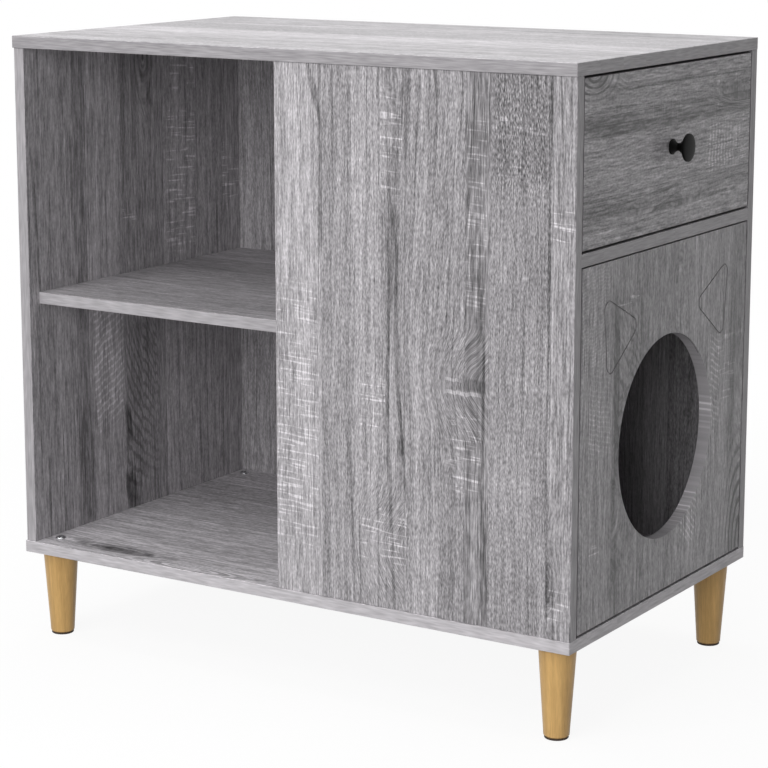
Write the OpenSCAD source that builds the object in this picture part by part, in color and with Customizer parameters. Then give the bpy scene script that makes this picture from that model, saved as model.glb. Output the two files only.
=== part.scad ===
// Cat house cabinet: an open bay with a shelf on the left, a cat room with a
// hinged door and a drawer above it on the right. All sizes in millimetres.
// The drawer and the door face +X, the open bay faces -Y, +Z is up.
// The origin lies on the ground under the middle of the whole piece.

/* [Cabinet] */
// Length of the top and bottom boards, end to end
body_w = 800; // [790:10:1000]
// Depth of the top and bottom boards, front to back
body_d = 475; // [440:5:560]
// Height from the ground to the table top
body_h = 780; // [760:10:840]
// Thickness of every cabinet board
board_t = 15; // [15:0.5:18]
// Chamfer that eases every board edge
edge_ease = 0.5; // [0.2:0.1:0.8]
// How far the uprights stand back from the front edges
front_set = 1.5; // [0.5:0.5:4]
// How far the left side panel stands in from the left ends
end_set = 1.5; // [0.5:0.5:4]
// How far the back panel stands in from the back edges
back_set = 1; // [0.5:0.5:4]

/* [Compartments] */
// Clear width of the open bay
bay_w = 382; // [340:2:392]
// Height of the shelf's top above the cabinet floor
shelf_rise = 326; // [240:2:400]
// How far the shelf stands back from the front edges
shelf_set = 20; // [5:1:60]
// Clear height of the drawer compartment
drawer_bay_h = 196.5; // [185:0.5:230]
// Gap above and below the drawer front, and below the door
level_gap = 3; // [2.5:0.5:4]
// Gap above the door
door_top_gap = 1.8; // [1.6:0.1:3]
// Gap at each side of the drawer front and the door
side_gap = 2.5; // [2.3:0.1:4]

/* [Legs] */
// Height of a leg with its pad
leg_h = 112; // [100:1:130]
// Leg diameter under the bottom board
leg_top_d = 45; // [42:0.5:54]
// Leg diameter at the foot
leg_foot_d = 30.5; // [26:0.5:40]
// Distance from the leg's centre to the edges of the bottom board
leg_inset = 32; // [30:1:45]
// Thickness of the foot pad
pad_t = 2.5; // [2:0.5:5]
// How much smaller the foot pad's radius is than the foot's
pad_step = 1; // [0.5:0.5:3]

/* [Door] */
// Diameter of the entry hole
hole_d = 248; // [180:2:260]
// Height of the entry hole's centre above the cabinet floor
hole_rise = 193; // [170:1:205]
// Width of the engraved ear line
ear_line = 2; // [1:0.5:3]
// Depth of the engraved ear line
ear_depth = 1.2; // [0.6:0.2:2]
// Radius at the corners of an ear outline
ear_round = 10; // [4:1:14]
// Distance from the door's hinged edge to the hinge axis
hinge_edge = 15; // [13:1:20]
// Diameter of a hinge pin
hinge_pin_d = 5; // [4:0.5:6]
// Length of a hinge pin inside the door
hinge_pin_in = 20; // [12:1:30]

/* [Drawer] */
// Free length between the divider and the drawer box
box_gap = 21.5; // [10:0.5:60]
// Height of the drawer box
box_h = 130; // [115:5:150]
// Thickness of the drawer box boards
box_t = 12; // [12:0.5:13]
// Thickness of the drawer bottom
bottom_t = 3; // [3:0.5:4]
// Height of the box above the lower edge of the drawer front
box_rise = 20; // [16:1:30]
// Height of the bottom's groove above the lower edge of the box
groove_rise = 12; // [12:1:18]
// Depth of the bottom's groove
groove_deep = 6; // [4:0.5:7]

/* [Knob] */
// How far the knob stands out from the drawer front
knob_reach = 24; // [20:1:32]
// Diameter of the knob's cap
knob_d = 33; // [28:1:40]
// Diameter of the knob's foot on the drawer front
knob_foot_d = 18.5; // [14:0.5:24]
// Diameter of the knob's neck
knob_neck_d = 9; // [7.5:0.5:11]

/* [Runners] */
// Space for one runner between the box and the panel
runner_space = 12.5; // [12.5:0.5:14]
// Sheet thickness of the runner profiles
sheet_t = 1.2; // [1:0.1:1.5]
// Diameter of a roller
roller_d = 21; // [18:1:24]
// Width of a roller
roller_w = 6.4; // [5.6:0.2:6.8]
// Diameter of a roller's rivet
rivet_d = 4; // [3:0.5:5]
// Height of the box's lower edge above the cabinet runner's underside
runner_drop = 5; // [4.5:0.5:8]

/* [Joinery] */
// Dowel diameter in the cabinet
dowel_d = 8; // [6:1:9]
// Dowel length in the cabinet
dowel_l = 30; // [25:1:35]
// Dowel length that enters a board's face
dowel_face = 11; // [8:0.5:12]
// Diameter of a cam lock
cam_d = 15; // [12:1:16]
// Distance from a board's edge to its cam lock's centre
cam_reach = 24; // [20:1:34]
// Distance from a seam's end to its first lock or screw
lock_inset = 60; // [50:1:70]
// Distance from a lock to the dowel beside it
dowel_step = 32; // [28:1:40]
// Length of a screw that holds the bottom board
base_screw_l = 50; // [40:5:60]
// Diameter of a leg bolt
leg_bolt_d = 8; // [6:1:8]
// Diameter of a leg bolt's head
leg_bolt_head_d = 14; // [12:1:16]
// Diameter of a shelf pin
shelf_pin_d = 5; // [4:0.5:6]

/* [Hidden] */
$fn = 48;

// Clearances
wood_fit = 0.1;       // radius by which a drilled hole is larger than its dowel, lock or screw
run_fit = 0.05;       // radius by which a running bore is larger than its pin
roll_gap = 0.3;       // between a roller and the sheet that it rolls on
slide_gap = 0.8;      // between the two profiles of a runner
drill_over = 0.5;     // how much deeper a blind hole is than what sits in it
cut = 1;              // how far a cutting tool reaches past a face

// Colours
laminate = [0.62, 0.61, 0.62];
laminate_dark = [0.46, 0.45, 0.46];
leg_wood = [0.80, 0.63, 0.40];
raw_wood = [0.82, 0.68, 0.48];
zinc = [0.75, 0.76, 0.78];
near_black = [0.10, 0.10, 0.11];
nylon = [0.92, 0.92, 0.90];

// Planes of the cabinet
left_x = -(body_w + knob_reach) / 2;
right_x = left_x + body_w;
front_y = -body_d / 2;
back_y = body_d / 2;
base_z = leg_h;
floor_z = base_z + board_t;
top_z = body_h - board_t;
side_x = left_x + end_set;
side_in_x = side_x + board_t;
divider_x = side_in_x + bay_w;
room_x = divider_x + board_t;
face_y = front_y + front_set;
front_in_y = face_y + board_t;
rear_y = back_y - back_set;
back_in_y = rear_y - board_t;
ceiling_z = top_z - drawer_bay_h;
room_top_z = ceiling_z - board_t;
shelf_z = floor_z + shelf_rise - board_t;
inner_x = right_x - board_t;
mid_y = (front_in_y + back_in_y) / 2;

// Door and drawer front
leaf_y0 = front_in_y + side_gap;
leaf_y1 = back_in_y - side_gap;
door_z0 = floor_z + level_gap;
door_z1 = room_top_z - door_top_gap;
hinge_x = right_x - board_t / 2;
hinge_y = leaf_y1 - hinge_edge;
hole_z = floor_z + hole_rise;
ear_points = [[166, 193], [74, 150], [155, 94]];  // corners from the hole's centre
ear_steps = 6;
drawer_z0 = ceiling_z + level_gap;
drawer_z1 = top_z - level_gap;
knob_z = (drawer_z0 + drawer_z1) / 2;

// Drawer box
box_z = drawer_z0 + box_rise;
box_x = room_x + box_gap;
box_l = inner_x - box_x;
box_y0 = front_in_y + runner_space;
box_y1 = back_in_y - runner_space;
groove_gap = 0.2;
groove_z = box_z + groove_rise;

// Small screws of the runners, the catch and the strike plate
small_screw_d = 3.5;
small_head_d = 6;
runner_screw_l = 12;
runner_screw_head_t = 0.6;
runner_screw_end = 45;
box_screw_l = 10;
box_screw_head_t = 1.5;

// Runners, measured from the panel that carries the cabinet profile
runner_z = box_z - runner_drop;
runner_set = 2;
runner_x1 = inner_x - runner_set;
runner_x0 = runner_x1 - box_l;
roller_r = roller_d / 2;
axle_z = runner_z + sheet_t + roll_gap + roller_r;
flange_z = axle_z + roller_r + roll_gap;
web_y = runner_space - sheet_t;
flange_w = web_y - slide_gap;
lip_h = 2;
channel_z = flange_z + 2 * sheet_t + 2 * roll_gap;
tread_y = sheet_t + runner_screw_head_t + 1.5 * slide_gap;
roller_end = 14;
roller_y = (runner_screw_head_t + flange_w - roller_w) / 2;
cabinet_roller_x = runner_x1 - roller_end;
drawer_roller_x = box_x + roller_end;
play = 0.1;
rivet_head_d = rivet_d + 2.4;
rivet_head_t = 0.9;
head_deep = rivet_head_t + play;

// Legs
leg_wood_h = leg_h - pad_t;
insert_d = leg_bolt_d + 4;
insert_l = 20;
leg_bolt_head_t = 2.2;
leg_spots = [
    [left_x + leg_inset, front_y + leg_inset],
    [right_x - leg_inset, front_y + leg_inset],
    [left_x + leg_inset, back_y - leg_inset],
    [right_x - leg_inset, back_y - leg_inset]
];

// Hinge
bush_wall = 1.5;
bush_flange = 2;
bush_flange_t = 1;
bush_l = 10;
bush_r = hinge_pin_d / 2 + run_fit + bush_wall;

// Magnet catch and strike plate
catch_l = 42;
catch_w = 13;
catch_deep = 16;
catch_z = (door_z0 + door_z1) / 2;
magnet_l = 20;
magnet_w = 8;
magnet_deep = 10;
strike_t = 1.2;
strike_l = 34;
strike_w = 9;
strike_edge = 1;
catch_x1 = inner_x - strike_t;
catch_screw_in = 11;
catch_screw_head_t = 1.8;
catch_screw_step = 15;
strike_screw_l = 11;
strike_head_t = 1.8;
strike_screw_step = 11;

// Cam locks, dowels and screws
cam_t = 12;
cam_bolt_d = 6.4;
cam_bolt_in = 11;
cam_bore_d = 8;
box_cam_t = 9.8;
box_cam_d = 12;
box_dowel_d = 6;
box_dowel_l = 25;
box_dowel_face = 9;
box_dowel_end = 30;
base_screw_d = 7;
base_core_d = 5;
base_head_d = 10;
base_head_t = 3;
rear_screw_d = 5;
rear_screw_l = 40;
rear_head_d = 9;
rear_head_t = 2.5;
rear_screw_end = 32;
knob_screw_d = 4;
knob_head_d = 8;
knob_screw_in = 10;
pin_in = 8;
pin_out = 8;
pin_collar = 1.5;
pin_shelf_end = 45;
long_seam = 600;

// Seams: where an edge of one board meets a face of another. Each has a start,
// an end and the turn that points local +Z into the edged board and local +X
// at the face that takes the locks.
function shift(p, seam_z) = [p[0], p[1], seam_z];
side_mid_x = side_x + board_t / 2;
divider_mid_x = divider_x + board_t / 2;
front_mid_y = face_y + board_t / 2;
back_mid_y = rear_y - board_t / 2;
ceiling_mid_z = room_top_z + board_t / 2;
top_front = [[divider_x, front_mid_y, top_z], [right_x, front_mid_y, top_z], [180, 0, 90]];
top_back = [[side_in_x, back_mid_y, top_z], [right_x, back_mid_y, top_z], [180, 0, 90]];
top_side = [[side_mid_x, face_y, top_z], [side_mid_x, rear_y, top_z], [180, 0, 0]];
top_divider = [[divider_mid_x, front_in_y, top_z], [divider_mid_x, back_in_y, top_z], [180, 0, 0]];
base_front = [shift(top_front[0], floor_z), shift(top_front[1], floor_z), [0, 0, 0]];
base_back = [shift(top_back[0], floor_z), shift(top_back[1], floor_z), [0, 0, 0]];
base_side = [shift(top_side[0], floor_z), shift(top_side[1], floor_z), [0, 0, 0]];
base_divider = [shift(top_divider[0], floor_z), shift(top_divider[1], floor_z), [0, 0, 0]];
room_front = [[room_x, front_in_y, ceiling_mid_z], [right_x, front_in_y, ceiling_mid_z], [0, 90, 90]];
room_back = [[room_x, back_in_y, ceiling_mid_z], [right_x, back_in_y, ceiling_mid_z], [0, 90, -90]];
room_divider = [[room_x, front_in_y, ceiling_mid_z], [room_x, back_in_y, ceiling_mid_z], [0, 90, 0]];
divider_front = [[divider_mid_x, front_in_y, floor_z], [divider_mid_x, front_in_y, top_z], [-90, 0, 0]];
divider_back = [[divider_mid_x, back_in_y, floor_z], [divider_mid_x, back_in_y, top_z], [90, 0, 0]];
side_back = [[side_in_x, back_mid_y, floor_z], [side_in_x, back_mid_y, top_z], [90, 0, 90]];

lock_seams = [top_front, top_back, top_divider, room_front, room_back,
    divider_front, divider_back, side_back];
screw_seams = [base_front, base_back, base_side, base_divider];
dowel_seams = concat(lock_seams, screw_seams, [top_side, room_divider]);

// Helpers
function unit(v) = v / norm(v);
function seam_l(seam) = norm(seam[1] - seam[0]);
function along(seam, d) = seam[0] + unit(seam[1] - seam[0]) * d;
function lock_stops(seam) = seam_l(seam) > long_seam
    ? [lock_inset, seam_l(seam) / 2, seam_l(seam) - lock_inset]
    : [lock_inset, seam_l(seam) - lock_inset];
function dowel_stops(seam) = [lock_inset + dowel_step, seam_l(seam) - lock_inset - dowel_step];
function normal_angle(v) = atan2(-v[0], v[1]);

// Outline of a polygon with round corners, grown by the given amount
function rounded(pts, r, grow, steps) = [
    for (i = [0 : len(pts) - 1])
        let (
            p = pts[i],
            in_dir = unit(p - pts[(i + len(pts) - 1) % len(pts)]),
            out_dir = unit(pts[(i + 1) % len(pts)] - p),
            half = acos(-in_dir * out_dir) / 2,
            centre = p + unit(out_dir - in_dir) * r / sin(half)
        )
        for (k = [0 : steps])
            let (a = normal_angle(in_dir) + (180 - 2 * half) * k / steps)
            centre + (r + grow) * [cos(a), sin(a)]
];

module at(seam, d) {
    translate(along(seam, d)) rotate(seam[2]) children();
}

// Board between two corners, with every edge eased by a small chamfer
module board(low, high) {
    size = high - low;
    translate(low) intersection() {
        linear_extrude(size[2]) eased([size[0], size[1]]);
        translate([0, size[1], 0]) rotate([90, 0, 0]) linear_extrude(size[1]) eased([size[0], size[2]]);
        rotate([90, 0, 90]) linear_extrude(size[0]) eased([size[1], size[2]]);
    }
}

module eased(size) {
    e = edge_ease;
    polygon([
        [e, 0], [size[0] - e, 0], [size[0], e], [size[0], size[1] - e],
        [size[0] - e, size[1]], [e, size[1]], [0, size[1] - e], [0, e]
    ]);
}

// Box between two corners, with sharp edges
module block(low, high) {
    translate(low) cube(high - low);
}

// Holes of a cam lock: its pocket and bolt channel in one board, the bolt's hole in the other
module lock_cut(thick, lock_d, lock_t) {
    translate([thick / 2 - lock_t - drill_over, 0, cam_reach])
        rotate([0, 90, 0]) cylinder(d = lock_d + 2 * wood_fit, h = lock_t + drill_over + cut);
    cylinder(d = cam_bore_d, h = cam_reach);
    translate([0, 0, -cam_bolt_in - drill_over])
        cylinder(d = cam_bolt_d + 2 * wood_fit, h = cam_bolt_in + drill_over + cut);
}

// Cam lock: a drum with a bolt hole, a cross slot and a rim
module cam_lock(thick, lock_d, lock_t) {
    slot = 1.4;
    slot_deep = 2;
    translate([thick / 2, 0, cam_reach]) rotate([0, -90, 0]) difference() {
        cylinder(d = lock_d, h = lock_t);
        translate([-lock_d, 0, thick / 2]) rotate([0, 90, 0])
            cylinder(d = cam_bore_d, h = lock_d + cam_bore_d / 2);
        for (a = [45, 135]) rotate([0, 0, a])
            translate([-lock_d / 3, -slot / 2, -cut]) cube([lock_d * 2 / 3, slot, slot_deep + cut]);
    }
}

// Cam bolt: threaded end, collar, shank, neck and head
module cam_bolt() {
    head_d = cam_bore_d - 1;
    neck_d = cam_bolt_d - 2;
    head_t = 2.5;
    neck_t = 3;
    translate([0, 0, -cam_bolt_in]) cylinder(d = cam_bolt_d, h = cam_bolt_in);
    cylinder(d = head_d, h = cam_reach - neck_t);
    translate([0, 0, cam_reach - neck_t]) cylinder(d = neck_d, h = neck_t);
    translate([0, 0, cam_reach]) cylinder(d = head_d, h = head_t);
}

module dowel_cut(d, l, face_l) {
    translate([0, 0, -face_l - drill_over])
        cylinder(d = d + 2 * wood_fit, h = l + 2 * drill_over);
}

// Dowel with chamfered ends
module dowel(d, l, face_l) {
    chamfer = d / 8;
    translate([0, 0, -face_l]) {
        cylinder(d1 = d - 2 * chamfer, d2 = d, h = chamfer);
        translate([0, 0, chamfer]) cylinder(d = d, h = l - 2 * chamfer);
        translate([0, 0, l - chamfer]) cylinder(d1 = d, d2 = d - 2 * chamfer, h = chamfer);
    }
}

// Screw from below with a countersunk head, at the seam between floor board and upright
module base_screw(over) {
    translate([0, 0, -board_t]) {
        cylinder(d1 = base_head_d + 2 * over, d2 = base_screw_d + 2 * over, h = base_head_t);
        cylinder(d = base_screw_d + 2 * over, h = board_t);
        cylinder(d = base_core_d + 2 * over, h = base_screw_l + over * drill_over / wood_fit);
    }
}

module locks_cut(seams) {
    for (s = seams) for (d = lock_stops(s)) at(s, d) lock_cut(board_t, cam_d, cam_t);
}

module dowels_cut(seams) {
    for (s = seams) for (d = dowel_stops(s)) at(s, d) dowel_cut(dowel_d, dowel_l, dowel_face);
}

module screws_cut(seams) {
    for (s = seams) for (d = lock_stops(s)) at(s, d) base_screw(wood_fit);
}

// Boards of the cabinet
module top_board() {
    color(laminate) difference() {
        board([left_x, front_y, top_z], [right_x, back_y, body_h]);
        locks_cut([top_front, top_back, top_divider]);
        dowels_cut([top_front, top_back, top_divider, top_side]);
    }
}

module bottom_board() {
    color(laminate) difference() {
        board([left_x, front_y, base_z], [right_x, back_y, floor_z]);
        screws_cut(screw_seams);
        dowels_cut(screw_seams);
        for (p = leg_spots) translate([p[0], p[1], base_z - cut])
            cylinder(d = leg_bolt_d + 2 * wood_fit, h = board_t + 2 * cut);
        lower_hinge() bush_hole();
    }
}

module left_side_panel() {
    color(laminate_dark) difference() {
        board([side_x, face_y, floor_z], [side_in_x, rear_y, top_z]);
        screws_cut([base_side]);
        dowels_cut([base_side, top_side, side_back]);
        locks_cut([side_back]);
        shelf_pin_holes();
    }
}

module back_panel() {
    color(laminate_dark) difference() {
        board([side_in_x, back_in_y, floor_z], [right_x, rear_y, top_z]);
        locks_cut([top_back, room_back, divider_back, side_back]);
        dowels_cut([top_back, base_back, room_back, divider_back, side_back]);
        screws_cut([base_back]);
        back_pair() runner_screw_cuts();
    }
}

module divider_panel() {
    color(laminate_dark) difference() {
        board([divider_x, front_in_y, floor_z], [room_x, back_in_y, top_z]);
        locks_cut([top_divider, divider_front, divider_back]);
        dowels_cut([top_divider, base_divider, room_divider, divider_front, divider_back]);
        screws_cut([base_divider]);
        shelf_pin_holes();
    }
}

module front_panel() {
    color(laminate) difference() {
        board([divider_x, face_y, floor_z], [right_x, front_in_y, top_z]);
        locks_cut([top_front, room_front, divider_front]);
        dowels_cut([top_front, base_front, room_front, divider_front]);
        screws_cut([base_front]);
        front_pair() runner_screw_cuts();
        catch_screw_spots() translate([0, 0, -cut])
            cylinder(d = small_screw_d + 2 * wood_fit, h = catch_screw_in + drill_over + cut);
    }
}

module room_ceiling() {
    color(laminate_dark) difference() {
        board([room_x, front_in_y, room_top_z], [right_x, back_in_y, ceiling_z]);
        locks_cut([room_front, room_back]);
        dowels_cut([room_front, room_back, room_divider]);
        upper_hinge() bush_hole();
    }
}

module shelf() {
    color(laminate) board([side_in_x, front_y + shelf_set, shelf_z],
        [divider_x, back_in_y, shelf_z + board_t]);
}

// Shelf pins, two in the left side panel and two in the divider
module shelf_pin_places() {
    for (y = [front_y + shelf_set + pin_shelf_end, back_in_y - pin_shelf_end]) {
        translate([side_in_x, y, shelf_z - shelf_pin_d / 2 - run_fit]) rotate([0, 90, 0]) children();
        translate([divider_x, y, shelf_z - shelf_pin_d / 2 - run_fit]) rotate([0, -90, 0]) children();
    }
}

module shelf_pin_holes() {
    shelf_pin_places() translate([0, 0, -pin_in - drill_over])
        cylinder(d = shelf_pin_d + 2 * wood_fit, h = pin_in + drill_over + cut);
}

module shelf_pins() {
    color(zinc) shelf_pin_places() {
        translate([0, 0, -pin_in]) cylinder(d = shelf_pin_d, h = pin_in + pin_collar + pin_out);
        difference() {
            cylinder(d = shelf_pin_d * 1.7, h = pin_collar);
            // flat that lets the collar pass under the shelf
            for (side = [-1, 1]) translate([side * (shelf_pin_d * 1.5), 0, pin_collar / 2])
                cube([shelf_pin_d * 2, shelf_pin_d * 2, pin_collar + 2 * cut], center = true);
        }
    }
}

// Legs
module leg(i) {
    ease = 1.5;
    color(leg_wood) translate([leg_spots[i][0], leg_spots[i][1], pad_t]) difference() {
        rotate_extrude() polygon([
            [0, 0], [leg_foot_d / 2 - ease, 0], [leg_foot_d / 2, ease],
            [leg_top_d / 2, leg_wood_h - ease], [leg_top_d / 2 - ease, leg_wood_h], [0, leg_wood_h]
        ]);
        translate([0, 0, leg_wood_h - insert_l - drill_over])
            cylinder(d = insert_d + 2 * wood_fit, h = insert_l + drill_over + cut);
    }
}

module foot_pad(i) {
    rim = 0.5;
    r = leg_foot_d / 2 - pad_step;
    color(near_black) translate([leg_spots[i][0], leg_spots[i][1], 0])
        rotate_extrude() polygon([[0, 0], [r - rim, 0], [r, rim], [r, pad_t], [0, pad_t]]);
}

// Threaded inserts in the leg tops, as plain tubes
module leg_inserts() {
    color(zinc) for (p = leg_spots) translate([p[0], p[1], base_z - insert_l]) difference() {
        cylinder(d = insert_d, h = insert_l);
        translate([0, 0, -cut]) cylinder(d = leg_bolt_d + 2 * run_fit, h = insert_l + 2 * cut);
    }
}

// Leg bolts: flat heads with hexagon sockets on the cabinet floor
module leg_bolts() {
    socket = leg_bolt_d * 0.6;
    socket_deep = 4;
    reach = board_t + insert_l - 2;
    color(zinc) for (p = leg_spots) translate([p[0], p[1], floor_z]) difference() {
        union() {
            translate([0, 0, -reach]) cylinder(d = leg_bolt_d, h = reach);
            rotate_extrude() polygon([
                [0, 0], [leg_bolt_head_d / 2, 0], [leg_bolt_head_d / 2, leg_bolt_head_t * 0.4],
                [leg_bolt_head_d / 2 - 1.4, leg_bolt_head_t], [0, leg_bolt_head_t]
            ]);
        }
        translate([0, 0, leg_bolt_head_t - socket_deep])
            cylinder(d = socket, h = socket_deep + cut, $fn = 6);
    }
}

// Screws from below
module base_screws() {
    color(zinc) for (s = screw_seams) for (d = lock_stops(s)) at(s, d) base_screw(0);
}

module dowels() {
    color(raw_wood) for (s = dowel_seams) for (d = dowel_stops(s))
        at(s, d) dowel(dowel_d, dowel_l, dowel_face);
}

module cam_locks() {
    color(zinc) for (s = lock_seams) for (d = lock_stops(s))
        at(s, d) cam_lock(board_t, cam_d, cam_t);
}

module cam_bolts() {
    color(zinc) for (s = lock_seams) for (d = lock_stops(s)) at(s, d) cam_bolt();
}

// Runners. Their profiles are drawn from the front panel's inner face, with +Y
// towards the drawer box. The pair at the back panel is the mirror image.
module front_pair() {
    translate([0, front_in_y, 0]) children();
}

module back_pair() {
    translate([0, back_in_y, 0]) mirror([0, 1, 0]) children();
}

module both_pairs() {
    front_pair() children();
    back_pair() children();
}

// Axis of a roller at the given place along the runner, with local +Z towards the box
module axle_at(x) {
    translate([x, 0, axle_z]) rotate([-90, 0, 0]) children();
}

// Screws that hold the cabinet runner to its panel
module runner_screw_spots() {
    for (x = [runner_x0 + runner_screw_end, (runner_x0 + runner_x1) / 2, runner_x1 - runner_screw_end])
        axle_at(x) children();
}

// Screws up through the drawer runner into the lower edge of the box side
module box_screw_spots() {
    for (x = [box_x + runner_screw_end, (box_x + inner_x) / 2, inner_x - runner_screw_end])
        translate([x, runner_space + box_t / 2, box_z]) children();
}

module runner_screw_cuts() {
    deep = runner_screw_l - sheet_t + drill_over;
    runner_screw_spots() translate([0, 0, -deep])
        cylinder(d = small_screw_d + 2 * wood_fit, h = deep + cut);
}

// Channel with a lip, for the drawer's roller
module cabinet_runner() {
    color(zinc) difference() {
        union() {
            block([runner_x0, 0, runner_z], [runner_x1, sheet_t, channel_z]);
            block([runner_x0, 0, runner_z], [runner_x1, flange_w, runner_z + sheet_t]);
            block([runner_x0, 0, channel_z - sheet_t], [runner_x1, flange_w, channel_z]);
            block([runner_x0, flange_w - sheet_t, runner_z],
                [runner_x1, flange_w, runner_z + sheet_t + lip_h]);
        }
        runner_screw_spots() translate([0, 0, -cut])
            cylinder(d = small_screw_d + 2 * wood_fit, h = sheet_t + 2 * cut);
        axle_at(cabinet_roller_x) translate([0, 0, -cut])
            cylinder(d = rivet_d + 2 * run_fit, h = sheet_t + 2 * cut);
    }
}

// Profile with a flange under the box side and a tread that lies on the cabinet's roller
module drawer_runner() {
    color(zinc) difference() {
        union() {
            block([box_x, web_y, box_z - sheet_t], [inner_x, runner_space, flange_z + sheet_t]);
            block([box_x, web_y, box_z - sheet_t], [inner_x, runner_space + box_t, box_z]);
            block([box_x, tread_y, flange_z], [inner_x, runner_space, flange_z + sheet_t]);
        }
        box_screw_spots() translate([0, 0, -sheet_t - cut])
            cylinder(d = small_screw_d + 2 * wood_fit, h = sheet_t + 2 * cut);
        axle_at(drawer_roller_x) translate([0, 0, web_y - cut])
            cylinder(d = rivet_d + 2 * run_fit, h = sheet_t + 2 * cut);
    }
}

// Roller with a recess for its rivet's head on the side z = 0
module roller() {
    rim = 0.6;
    bore = rivet_d / 2 + run_fit;
    recess = rivet_head_d / 2 + roll_gap;
    color(nylon) rotate_extrude() polygon([
        [bore, head_deep], [recess, head_deep], [recess, 0], [roller_r - rim, 0], [roller_r, rim],
        [roller_r, roller_w - rim], [roller_r - rim, roller_w], [bore, roller_w]
    ]);
}

// Rivet with its head at z = 0 in the roller's recess and a collar behind the roller
module rivet(reach) {
    behind = roller_w + play;
    cylinder(d = rivet_head_d, h = rivet_head_t);
    cylinder(d = rivet_d, h = reach);
    translate([0, 0, behind]) cylinder(d = rivet_head_d, h = reach - sheet_t - behind);
}

module cabinet_axle() {
    axle_at(cabinet_roller_x) translate([0, 0, roller_y + roller_w]) mirror([0, 0, 1]) children();
}

module drawer_axle() {
    axle_at(drawer_roller_x) translate([0, 0, roller_y]) children();
}

module cabinet_runner_rivets() {
    color(zinc) both_pairs() cabinet_axle() rivet(roller_y + roller_w);
}

module drawer_runner_rivets() {
    color(zinc) both_pairs() drawer_axle() rivet(runner_space - roller_y);
}

// Pan-head screw with a cross recess: the head stands out along local +Z
module small_screw(l, head_t) {
    slot = 0.8;
    difference() {
        union() {
            translate([0, 0, -l]) cylinder(d = small_screw_d, h = l);
            cylinder(d1 = small_head_d, d2 = small_head_d * 0.8, h = head_t);
        }
        for (a = [0, 90]) rotate([0, 0, a]) translate([-small_head_d / 4, -slot / 2, head_t / 2])
            cube([small_head_d / 2, slot, head_t]);
    }
}

module cabinet_runner_screws() {
    color(zinc) both_pairs() runner_screw_spots() translate([0, 0, sheet_t])
        small_screw(runner_screw_l, runner_screw_head_t);
}

module drawer_runner_screws() {
    color(zinc) both_pairs() box_screw_spots() translate([0, 0, -sheet_t]) mirror([0, 0, 1])
        small_screw(box_screw_l, box_screw_head_t);
}

// Hinge of the door: a pin in the door turns in a flanged bush in the board above
// and below it. Local +Z points from the door into that board.
module lower_hinge() {
    translate([hinge_x, hinge_y, floor_z]) mirror([0, 0, 1]) children();
}

module upper_hinge() {
    translate([hinge_x, hinge_y, room_top_z]) children();
}

module bush_hole() {
    translate([0, 0, -cut]) cylinder(r = bush_r + wood_fit, h = bush_l + drill_over + cut);
}

module pin_hole(gap) {
    translate([0, 0, -gap - hinge_pin_in - drill_over])
        cylinder(d = hinge_pin_d + 2 * wood_fit, h = hinge_pin_in + drill_over + cut);
}

module hinge_bush() {
    bore = hinge_pin_d / 2 + run_fit;
    color(nylon) rotate_extrude() polygon([
        [bore, -bush_flange_t], [bush_r + bush_flange, -bush_flange_t], [bush_r + bush_flange, 0],
        [bush_r, 0], [bush_r, bush_l], [bore, bush_l]
    ]);
}

module hinge_pin(gap) {
    tip = 0.6;
    r = hinge_pin_d / 2;
    l = hinge_pin_in + gap + bush_l - tip;
    color(zinc) translate([0, 0, -gap - hinge_pin_in]) rotate_extrude() polygon([
        [0, 0], [r - tip, 0], [r, tip], [r, l - tip], [r - tip, l], [0, l]
    ]);
}

// Washer that carries the door on the lower bush
module hinge_washer() {
    bore = hinge_pin_d / 2 + run_fit;
    color(nylon) lower_hinge() rotate_extrude() polygon([
        [bore, -level_gap], [bush_r + bush_flange, -level_gap],
        [bush_r + bush_flange, -bush_flange_t], [bore, -bush_flange_t]
    ]);
}

// Door with its entry hole and the outlines of two ears above it
module door_panel() {
    color(laminate_dark) difference() {
        board([inner_x, leaf_y0, door_z0], [right_x, leaf_y1, door_z1]);
        translate([inner_x - cut, mid_y, hole_z]) rotate([0, 90, 0])
            cylinder(d = hole_d, h = board_t + 2 * cut, $fn = 96);
        for (side = [0, 1]) ear_groove(side);
        lower_hinge() pin_hole(level_gap);
        upper_hinge() pin_hole(door_top_gap);
        strike_screw_spots() strike_screw(wood_fit);
    }
}

module ear_groove(side) {
    translate([right_x - ear_depth, mid_y, hole_z]) rotate([90, 0, 90]) mirror([side, 0, 0])
        linear_extrude(ear_depth + cut) difference() {
            polygon(rounded(ear_points, ear_round, ear_line / 2, ear_steps));
            polygon(rounded(ear_points, ear_round, -ear_line / 2, ear_steps));
        }
}

// Magnet catch on the front panel. Its screws point into the panel along local +Z.
module catch_screw_spots() {
    for (side = [-1, 1])
        translate([catch_x1 - catch_deep / 2, front_in_y, catch_z + side * catch_screw_step])
            rotate([90, 0, 0]) children();
}

magnet_y = front_in_y + (catch_w - magnet_w) / 2;
magnet_z = catch_z - magnet_l / 2;

module magnet_catch() {
    gap = 0.1;
    color(nylon) difference() {
        block([catch_x1 - catch_deep, front_in_y, catch_z - catch_l / 2],
            [catch_x1, front_in_y + catch_w, catch_z + catch_l / 2]);
        block([catch_x1 - magnet_deep - gap, magnet_y - gap, magnet_z - gap],
            [catch_x1 + cut, magnet_y + magnet_w + gap, magnet_z + magnet_l + gap]);
        catch_screw_spots() translate([0, 0, -catch_w - cut])
            cylinder(d = small_screw_d + 2 * wood_fit, h = catch_w + 2 * cut);
    }
}

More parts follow.
